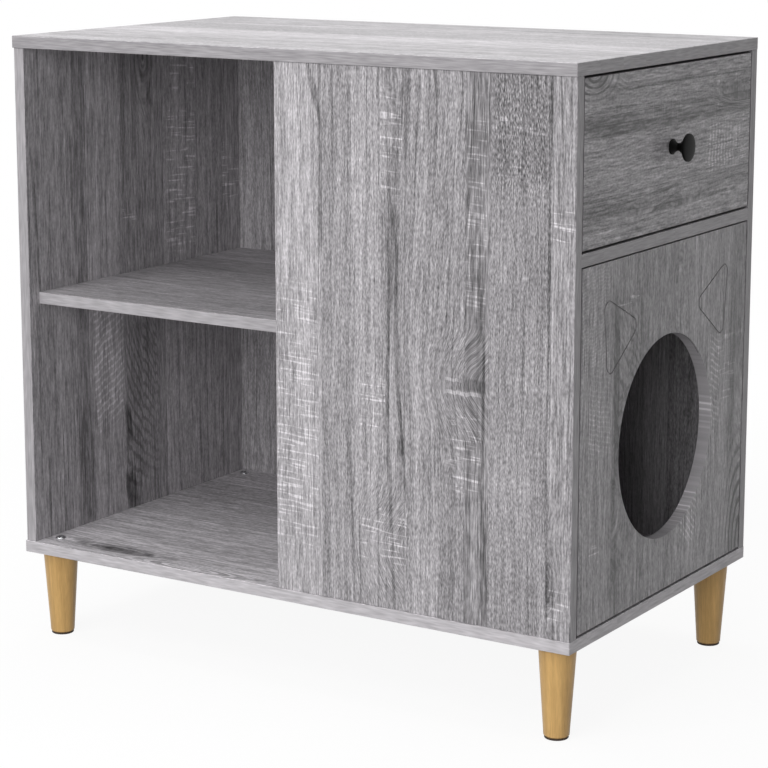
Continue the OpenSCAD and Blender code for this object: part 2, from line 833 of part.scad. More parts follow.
// Magnet between its two pole plates
module catch_magnet() {
    plate_t = 1.2;
    x = catch_x1 - magnet_deep;
    color(near_black) block([x, magnet_y + plate_t, magnet_z],
        [catch_x1 - plate_t, magnet_y + magnet_w - plate_t, magnet_z + magnet_l]);
    color(zinc) for (y = [magnet_y, magnet_y + magnet_w - plate_t])
        block([x, y, magnet_z], [catch_x1, y + plate_t, magnet_z + magnet_l]);
}

module catch_screws() {
    color(zinc) catch_screw_spots() translate([0, 0, -catch_w]) mirror([0, 0, 1])
        small_screw(catch_w + catch_screw_in, catch_screw_head_t);
}

// Strike plate on the door, held by screws that lie flush in it
strike_y = leaf_y0 + strike_edge + strike_w / 2;

module strike_screw_spots() {
    for (side = [-1, 1]) translate([catch_x1, strike_y, catch_z + side * strike_screw_step])
        rotate([0, 90, 0]) children();
}

module strike_screw(over) {
    cylinder(d1 = small_head_d + 2 * over, d2 = small_screw_d + 2 * over, h = strike_head_t);
    cylinder(d = small_screw_d + 2 * over, h = strike_screw_l + over * drill_over / wood_fit);
}

module strike_plate() {
    color(zinc) difference() {
        block([catch_x1, strike_y - strike_w / 2, catch_z - strike_l / 2],
            [inner_x, strike_y + strike_w / 2, catch_z + strike_l / 2]);
        strike_screw_spots() strike_screw(wood_fit);
    }
}

module strike_screws() {
    color(zinc) strike_screw_spots() strike_screw(0);
}

// Drawer box. Its sides are drawn as the runners are, in mirrored pairs.
module box_seam_at(z) {
    translate([inner_x, runner_space + box_t / 2, box_z + z]) rotate([-90, 0, 90]) children();
}

module box_dowel_spots() {
    for (z = [box_dowel_end, box_h - box_dowel_end]) box_seam_at(z) children();
}

module box_seam_cuts() {
    box_seam_at(box_h / 2) lock_cut(box_t, box_cam_d, box_cam_t);
    box_dowel_spots() dowel_cut(box_dowel_d, box_dowel_l, box_dowel_face);
}

module rear_screw_spots() {
    for (z = [rear_screw_end, box_h - rear_screw_end])
        translate([box_x + box_t / 2, runner_space, box_z + z]) rotate([-90, 0, 0]) children();
}

module rear_screw(over) {
    cylinder(d1 = rear_head_d + 2 * over, d2 = rear_screw_d + 2 * over, h = rear_head_t);
    cylinder(d = rear_screw_d + 2 * over, h = rear_screw_l + over * drill_over / wood_fit);
}

// Groove for the drawer bottom, around the inside of the box
module bottom_groove() {
    block([box_x + box_t - groove_deep, box_y0 + box_t - groove_deep, groove_z],
        [inner_x + groove_deep, box_y1 - box_t + groove_deep, groove_z + bottom_t + groove_gap]);
}

module drawer_front() {
    color(laminate_dark) difference() {
        board([inner_x, leaf_y0, drawer_z0], [right_x, leaf_y1, drawer_z1]);
        both_pairs() box_seam_cuts();
        bottom_groove();
        translate([inner_x - cut, mid_y, knob_z]) rotate([0, 90, 0])
            cylinder(d = knob_screw_d + 2 * wood_fit, h = board_t + 2 * cut);
    }
}

module drawer_side() {
    difference() {
        board([box_x, runner_space, box_z], [inner_x, runner_space + box_t, box_z + box_h]);
        box_seam_cuts();
        rear_screw_spots() rear_screw(wood_fit);
        box_screw_spots() translate([0, 0, -cut])
            cylinder(d = small_screw_d + 2 * wood_fit, h = box_screw_l - sheet_t + drill_over + cut);
    }
}

module drawer_side_front() {
    color(laminate) difference() {
        front_pair() drawer_side();
        bottom_groove();
    }
}

module drawer_side_back() {
    color(laminate) difference() {
        back_pair() drawer_side();
        bottom_groove();
    }
}

module drawer_rear() {
    color(laminate) difference() {
        board([box_x, box_y0 + box_t, box_z], [box_x + box_t, box_y1 - box_t, box_z + box_h]);
        bottom_groove();
        both_pairs() rear_screw_spots() rear_screw(wood_fit);
    }
}

module drawer_bottom() {
    tongue = groove_deep - groove_gap;
    color(raw_wood) block([box_x + box_t - tongue, box_y0 + box_t - tongue, groove_z],
        [inner_x + tongue, box_y1 - box_t + tongue, groove_z + bottom_t]);
}

module drawer_dowels() {
    color(raw_wood) both_pairs() box_dowel_spots() dowel(box_dowel_d, box_dowel_l, box_dowel_face);
}

module drawer_cam_locks() {
    color(zinc) both_pairs() box_seam_at(box_h / 2) cam_lock(box_t, box_cam_d, box_cam_t);
}

module drawer_cam_bolts() {
    color(zinc) both_pairs() box_seam_at(box_h / 2) cam_bolt();
}

module drawer_rear_screws() {
    color(zinc) both_pairs() rear_screw_spots() rear_screw(0);
}

// Mushroom knob: foot, hollow flare to the neck, flare to the cap and a low dome
module drawer_knob() {
    foot_t = 1.5;
    rim_t = 2;
    neck_z = knob_reach * 0.36;
    rim_z = knob_reach * 0.83;
    dome_z = knob_reach - rim_z - rim_t;
    foot_r = knob_foot_d / 2;
    neck_r = knob_neck_d / 2;
    cap_r = knob_d / 2;
    steps = 10;
    flare = [for (k = [0 : steps]) let (t = k / steps)
        [neck_r + (foot_r - neck_r) * pow(1 - t, 2), foot_t + (neck_z - foot_t) * t]];
    bell = [for (k = [1 : steps]) let (t = k / steps)
        [neck_r + (cap_r - neck_r) * pow(t, 1.6), neck_z + (rim_z - neck_z) * t]];
    dome = [for (k = [0 : steps]) let (a = 90 * k / steps)
        [cap_r * cos(a), rim_z + rim_t + dome_z * sin(a)]];
    color(near_black) translate([right_x, mid_y, knob_z]) rotate([0, 90, 0]) difference() {
        rotate_extrude() polygon(concat([[0, 0], [foot_r, 0]], flare, bell, dome));
        translate([0, 0, -cut])
            cylinder(d = knob_screw_d + 2 * run_fit, h = knob_screw_in + drill_over + cut);
    }
}

module knob_screw() {
    head_t = 2.4;
    slot = 1;
    color(zinc) translate([inner_x, mid_y, knob_z]) rotate([0, 90, 0]) difference() {
        union() {
            cylinder(d = knob_screw_d, h = board_t + knob_screw_in);
            translate([0, 0, -head_t])
                cylinder(d1 = knob_head_d * 0.8, d2 = knob_head_d, h = head_t);
        }
        for (a = [0, 90]) rotate([0, 0, a]) translate([-knob_head_d / 4, -slot / 2, -head_t - cut])
            cube([knob_head_d / 2, slot, head_t / 2 + cut]);
    }
}

top_board();
bottom_board();
left_side_panel();
back_panel();
divider_panel();
front_panel();
room_ceiling();
shelf();
shelf_pins();
leg(0);  // leg_front_left
leg(1);  // leg_front_right
leg(2);  // leg_back_left
leg(3);  // leg_back_right
foot_pad(0);  // foot_pad_front_left
foot_pad(1);  // foot_pad_front_right
foot_pad(2);  // foot_pad_back_left
foot_pad(3);  // foot_pad_back_right
leg_inserts();
leg_bolts();
base_screws();
dowels();
cam_locks();
cam_bolts();
front_pair() cabinet_runner();  // cabinet_runner_front
back_pair() cabinet_runner();  // cabinet_runner_back
cabinet_runner_rivets();
cabinet_runner_screws();
lower_hinge() hinge_bush();  // hinge_bush_lower
upper_hinge() hinge_bush();  // hinge_bush_upper
magnet_catch();
catch_magnet();
catch_screws();
door_panel();
lower_hinge() hinge_pin(level_gap);  // hinge_pin_lower
upper_hinge() hinge_pin(door_top_gap);  // hinge_pin_upper
hinge_washer();
strike_plate();
strike_screws();
drawer_front();
drawer_side_front();
drawer_side_back();
drawer_rear();
drawer_bottom();
drawer_knob();
knob_screw();
drawer_dowels();
drawer_cam_locks();
drawer_cam_bolts();
drawer_rear_screws();
front_pair() drawer_runner();  // drawer_runner_front
back_pair() drawer_runner();  // drawer_runner_back
drawer_runner_rivets();
drawer_runner_screws();
front_pair() cabinet_axle() roller();  // cabinet_roller_front
back_pair() cabinet_axle() roller();  // cabinet_roller_back
front_pair() drawer_axle() roller();  // drawer_roller_front
back_pair() drawer_axle() roller();  // drawer_roller_back
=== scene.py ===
import math
import random

import bmesh
import bpy
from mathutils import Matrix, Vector


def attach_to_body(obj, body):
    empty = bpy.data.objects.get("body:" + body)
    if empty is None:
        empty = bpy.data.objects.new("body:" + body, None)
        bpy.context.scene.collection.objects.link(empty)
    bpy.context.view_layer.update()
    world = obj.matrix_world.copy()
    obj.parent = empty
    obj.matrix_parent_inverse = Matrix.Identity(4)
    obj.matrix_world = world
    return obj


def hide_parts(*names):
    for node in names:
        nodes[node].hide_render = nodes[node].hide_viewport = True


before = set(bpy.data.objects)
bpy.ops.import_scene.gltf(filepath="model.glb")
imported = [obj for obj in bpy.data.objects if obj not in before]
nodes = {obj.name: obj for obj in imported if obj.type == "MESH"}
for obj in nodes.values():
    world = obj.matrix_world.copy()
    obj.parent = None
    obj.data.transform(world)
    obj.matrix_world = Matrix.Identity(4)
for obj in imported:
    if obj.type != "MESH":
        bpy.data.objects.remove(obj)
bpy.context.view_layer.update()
scene = bpy.context.scene
mm = 0.001
print("cat house cabinet: frame loaded,", len(nodes), "pieces")


# Node plumbing: a wire is one output socket, and Python's operators on it add Math nodes.
class Wire:
    def __init__(self, graph, socket):
        self.graph, self.socket = graph, socket

    def maths(self, operation, *others):
        sockets = dict(enumerate((self,) + others))
        return self.graph.make("ShaderNodeMath", sockets, operation=operation)

    def other(self, name):
        return Wire(self.graph, self.socket.node.outputs[name])

    def __add__(self, value):
        return self.maths("ADD", value)

    def __sub__(self, value):
        return self.maths("SUBTRACT", value)

    def __mul__(self, value):
        return self.maths("MULTIPLY", value)

    def __truediv__(self, value):
        return self.maths("DIVIDE", value)

    def __rsub__(self, value):
        return self.graph.make("ShaderNodeMath", {0: value, 1: self}, operation="SUBTRACT")

    def __gt__(self, value):
        return self.maths("GREATER_THAN", value)

    def __abs__(self):
        return self.maths("ABSOLUTE")

    __radd__ = __add__
    __rmul__ = __mul__

    def ease(self, low, high):  # 0 below low, 1 above high, smooth between
        return self.graph.make("ShaderNodeMapRange", {0: self, 1: low, 2: high},
                               interpolation_type="SMOOTHSTEP")

    def held(self):  # kept between 0 and 1
        return self.maths("MINIMUM", 1.0).maths("MAXIMUM", 0.0)

    def toward(self, value, share):
        return self + (value - self) * share

    def ridges(self):  # 0 at whole numbers, 1 halfway between them
        return self.maths("PINGPONG", 0.5) * 2


class Graph:
    def __init__(self, tree):
        self.tree = tree
        tree.nodes.clear()

    def make(self, kind, sockets=None, out=0, stops=None, **settings):
        node = self.tree.nodes.new(kind)
        for key, value in settings.items():
            setattr(node, key, value)
        if stops:
            ramp = node.color_ramp
            ramp.interpolation = "CONSTANT"
            while len(ramp.elements) < len(stops):
                ramp.elements.new(0.5)
            for element, (place, colour) in zip(ramp.elements, stops):
                element.position, element.color = place, (*colour, 1)
        for key, value in (sockets or {}).items():
            for one in value if isinstance(value, list) else [value]:
                if isinstance(one, Wire):
                    self.tree.links.new(one.socket, node.inputs[key])
                else:
                    node.inputs[key].default_value = one
        return Wire(self, node.outputs[out]) if node.outputs else None

    def axes(self, source):
        first = self.make("ShaderNodeSeparateXYZ", {0: self.make("ShaderNodeTexCoord", out=source)})
        return {"X": first, "Y": first.other("Y"), "Z": first.other("Z")}

    def fibres(self, across, along, depth, size, detail=2.0):
        # noise about 0, with fibres as wide and as long as size says
        place = self.make("ShaderNodeCombineXYZ", {0: across / size[0], 1: along / size[1], 2: depth})
        return self.make("ShaderNodeTexNoise", {"Vector": place, "Scale": 1.0, "Detail": detail}) - 0.5

    def blend(self, share, low, high):
        return self.make("ShaderNodeMix", {0: share, 6: (*low, 1), 7: (*high, 1)}, out=2, data_type="RGBA")


class Finish(Graph):
    bumpStrength = 0.6

    def __init__(self, name):
        self.material = bpy.data.materials.new(name)
        self.material.use_nodes = True
        super().__init__(self.material.node_tree)

    def close(self, surface):
        self.make("ShaderNodeOutputMaterial", {"Surface": surface})
        return self.material

    def coat(self, colour, roughness, height, lift, extra=None):
        bump = self.make("ShaderNodeBump", {"Strength": self.bumpStrength, "Distance": lift,
                                            "Height": height})
        sockets = {"Base Color": colour, "Roughness": roughness, "Normal": bump, **(extra or {})}
        return self.close(self.make("ShaderNodeBsdfPrincipled", sockets))


# Grey oak effect laminate
oak = {
    "light": (0.80, 0.768, 0.802),
    "floor": 0.22,        # darkest grey, as a share of the lightest on the screen's scale
    "gamma": 2.2,         # from the screen's scale to light
    "tone": 0.55,
    "edgeTone": 0.555,
    "edgeQuiet": 0.68,    # how much of the pattern the cut edges lose
    "rimPaintedLight": 0.10,      # painted light: how much lighter the cut of the entry hole is painted, where it sits in shade
    "rimQuiet": 0.7,
    "engraved": 0.38,     # painted shade: how much darker an engraved line is painted
    "fibre": 0.98,        # contrast of the single fibres
    "streak": 0.30,
    "line": 0.20,
    "cloud": 0.15,
    "ring": 0.55,         # lines around a knot
    "saw": 0.38,
    "seam": 0.10,         # dark line where two staves meet
    "seamWidth": 1.2,     # in mm
    "roughness": 0.44,
}
# Width and length of each kind of fibre, in metres. A board's coarse value widens long, short and flow.
oakFibres = {
    "bend": (0.10, 0.42),
    "wobble": (0.03, 0.16),
    "long": (1.5 * mm, 0.024),
    "short": (1.4 * mm, 0.0052),
    "flow": (3.6 * mm, 0.12),
    "streak": (0.0085, 0.5),
    "line": (0.0036, 0.30),
    "cloud": (0.06, 0.26),
    "ring": (0.0042, 0.4),
    "tick": (0.040, 0.0034),
}
plainKnot = {"dark": 0.1, "core": 1.6, "fade": 3.2, "rings": 1.0}
softSide, softEnd = (0.40, 0.56), (0.34, 0.58)  # where a patch fades, as shares of its width and length
turnedAway = 0.7  # a face belongs to an axis when its normal has more than this of it
evenly = {"least": 30, "tone": (-0.07, 0.08), "mottle": (0.3, 0.4, 0.5, 0.6), "width": (38, 92)}


def evenStaves(low, high, seed):
    dice = random.Random(seed)
    staves, at = [], low
    while at < high - evenly["least"]:
        staves.append((at, dice.uniform(*evenly["tone"]), dice.choice(evenly["mottle"])))
        at += dice.uniform(*evenly["width"])
    return staves


def patchMask(across, along, ragged, patch):  # 1 inside a soft-edged field on a board, leaning if it says so
    (c0, c1), (g0, g1) = patch["across"], patch["along"]
    ragged = ragged * patch.get("ragged", 1.0)
    middle = (c0 + c1) / 2 * mm
    rise = along - (g0 + g1) / 2 * mm
    side = abs(across + ragged * 0.02 - rise * patch.get("lean", 0.0) - middle)
    mask = 1 - side.ease(*[(c1 - c0) * share * mm for share in softSide])
    return mask * (1 - abs(rise + ragged * 0.05).ease(*[(g1 - g0) * share * mm for share in softEnd]))


def laminate(name, board):
    shade = Finish(name)

    def pattern(kind, x, y, depth, detail=2.0, coarse=1.0):
        wide, tall = oakFibres[kind]
        return shade.fibres(x, y, depth, (wide * coarse, tall), detail)

    place, facing = shade.axes("Object"), shade.axes("Normal")
    face, grain = board["face"], board["grain"]
    cross = ({"X", "Y", "Z"} - {face, grain}).pop()
    onEdge = 1 - (abs(facing[face]) > turnedAway)
    onEnd = (abs(facing[grain]) > turnedAway) * onEdge
    side = place[cross]
    seed = board["seed"]
    if "hole" in board:  # the cut around a hole goes on with the pattern of the face
        (c, g), reach = board["hole"]["at"], board["hole"]["reach"]
        inHole = 1 - ((side - c * mm) * (side - c * mm) + (place[grain] - g * mm) * (place[grain] - g * mm)
                      > (reach * mm) ** 2)
        rim, onEdge, onEnd = inHole * onEdge, onEdge * (1 - inHole), onEnd * (1 - inHole)
    onFace = 1 - onEdge

    low, high = board["low"], board["high"]
    dice = random.Random(seed + 7)
    spread = [((at - low) / (high - low), (0.5 + tone, mottle, dice.random()))
              for at, tone, mottle in board["staves"]]
    spread[0] = (0.0, spread[0][1])
    width = (high - low) * mm
    ramp = [shade.make("ShaderNodeValToRGB", {0: (side - low * mm + shiftBy) / width}, stops=spread)
            for shiftBy in (0.0, oak["seamWidth"] * mm)]
    here, beside = [shade.make("ShaderNodeSeparateColor", {0: colour}) for colour in ramp]
    staveTone = (here - 0.5) * onFace
    mottle = here.other("Green") * onFace
    own = here.other("Blue")
    seam = (abs(own - beside.other("Blue")) > 0.001) * onFace

    across = side.toward(place[face], onEdge)
    along = place[grain].toward(side, onEnd)
    bend = pattern("bend", across, along, seed + 0.3)
    straight = across + bend * (mottle * 0.020 + 0.006)  # long lines bend, but don't follow the knots
    for lean in board.get("leans", []):
        mask = patchMask(side, place[grain], bend, lean) * onFace
        straight = straight - mask * (place[grain] - sum(lean["along"]) / 2 * mm) * lean["slope"]
    bent, knotTone, knotSum = straight, None, None
    for sweep in board.get("sweeps", []):  # lines drawn aside, toward a slit
        c, g = (v * mm for v in sweep["at"])
        rise = (along - g) / (sweep["reach"] * mm)
        near = (1 - abs(rise).ease(0.0, 1.0)) * ((across - c) * sweep["side"] > 0)
        near = near * (1 - abs(across - c).ease(0.1 * sweep["width"] * mm, sweep["width"] * mm))
        bent = bent - near * onFace * (sweep["side"] * sweep["shift"] * mm)
    for knot in board.get("knots", []):
        knot = {**plainKnot, **knot}
        c, g = (v * mm for v in knot["at"])
        wide, tall = (v * mm for v in knot["size"])
        far = (((across - c) / wide) * ((across - c) / wide)
               + ((along - g) / tall) * ((along - g) / tall)).maths("SQRT")
        near = (1 - far.ease(0.6, knot["fade"])) * onFace
        sign = knot.get("side", 1)
        if "side" in knot:
            near = near * (((across - c) * sign) > -0.0001)
        bent = bent.toward(c + far * (wide * sign), near)
        dark = near * (1 - far.ease(0.1, knot["core"])) * knot["dark"]
        if "lines" in knot:  # rings as even, darker lines
            rings = ((far + bend * 1.2) * knot["lines"]).maths("SINE").ease(0.0, 0.9)
            dark = dark + rings * near * knot["deep"]
        knotTone = dark if knotTone is None else knotTone + dark
        near = near * knot["rings"]
        knotSum = near if knotSum is None else knotSum + near

    wobble = pattern("wobble", bent, along, seed + 2.1)
    bent = bent + wobble * (mottle * 0.004 + 0.0008)
    depth = own * 40 + seed
    coarse = board.get("coarse", 1.0)
    long = pattern("long", bent, along, depth, 1.0, coarse)
    short = pattern("short", bent, along, depth + 9, 1.0, coarse)
    flow = pattern("flow", bent, along, depth + 3, 1.0, coarse)
    fibre = long.toward(short, mottle) + flow * 0.30
    streak = pattern("streak", straight, along, depth + 4)
    line = pattern("line", straight, along, depth + 6).ease(0.08, 0.24)
    cloud = pattern("cloud", side, place[grain], seed + 5.5)

    quiet = board.get("quiet", 1.0)
    calm = (1 - onEdge * oak["edgeQuiet"]) * quiet
    if "hole" in board:
        calm = calm * (1 - rim * oak["rimQuiet"])
    fine = fibre * (calm * board.get("crisp", 1.0)) * oak["fibre"]
    if knotSum is not None:
        ring = pattern("ring", bent, along, depth + 7, 1.0)
        fine = fine + ring * knotSum * oak["ring"]
    tone = staveTone * quiet + fine + streak * calm * oak["streak"] + cloud * calm * oak["cloud"]
    tone = tone - line * calm * oak["line"] * onFace - seam * (oak["seam"] * quiet)
    tone = tone + onEdge * (oak["edgeTone"] - oak["tone"]) + (oak["tone"] + board.get("tone", 0.0))
    if "hole" in board:
        # painted light: the cut of the entry hole is painted lighter, standing in for light on it where it
        # sits in shade
        tone = tone + rim * oak["rimPaintedLight"]
    if knotTone is not None:
        tone = tone - knotTone
    for patch in board.get("shadows", []):  # darker heartwood bands, or lighter ones; the back panel's lighter fields are painted light
        tone = tone - patchMask(side, place[grain], streak, patch) * onFace * patch["dark"]
    for x0, x1, y0, y1, z0, z1 in board.get("engraved", []):  # painted shade in lines cut below the face, between these limits
        inside = None
        for axis, lower, upper in (("X", x0, x1), ("Y", y0, y1), ("Z", z0, z1)):
            between = (place[axis] > lower * mm) * (1 - (place[axis] > upper * mm))
            inside = between if inside is None else inside * between
        tone = tone - inside * oak["engraved"]
    if board.get("saws"):
        ticks = pattern("tick", side, place[grain] + side * 0.05, seed + 8.8, 1.0).ease(0.05, 0.20)
        total = None
        for saw in board["saws"]:
            mask = patchMask(side, place[grain], streak, saw)
            if "comb" in saw:
                reach = side - saw["comb"] * mm
                beat = place[grain] + reach * saw["slope"] + wobble * 0.006
                if "fan" in saw:  # the lines run together at this height
                    beat = beat + (place[grain] - saw["fan"] * mm) * reach * saw["closing"] + streak * 0.030
                mark = ((beat + streak * 0.008) * saw["rate"]).maths("SINE").ease(0.1, 0.9)
                mark = mark * (bend * 4.0 + 0.7).held()
            elif "fleck" in saw:
                mark = short * saw["fleck"]
            else:
                mark = ticks
            mask = mask * mark * saw.get("strength", 1.0)
            total = mask if total is None else total + mask
        tone = tone + total * (long * 1.8 + 0.6) * oak["saw"] * onFace
    share = (tone.held() * (1 - oak["floor"]) + oak["floor"]).maths("POWER", oak["gamma"])
    colour = shade.blend(share, (0, 0, 0), oak["light"])
    roughness = oak["roughness"] - fibre * 0.25
    return shade.coat(colour, roughness, fibre + line * -0.6 + streak * 0.5, 0.0002)


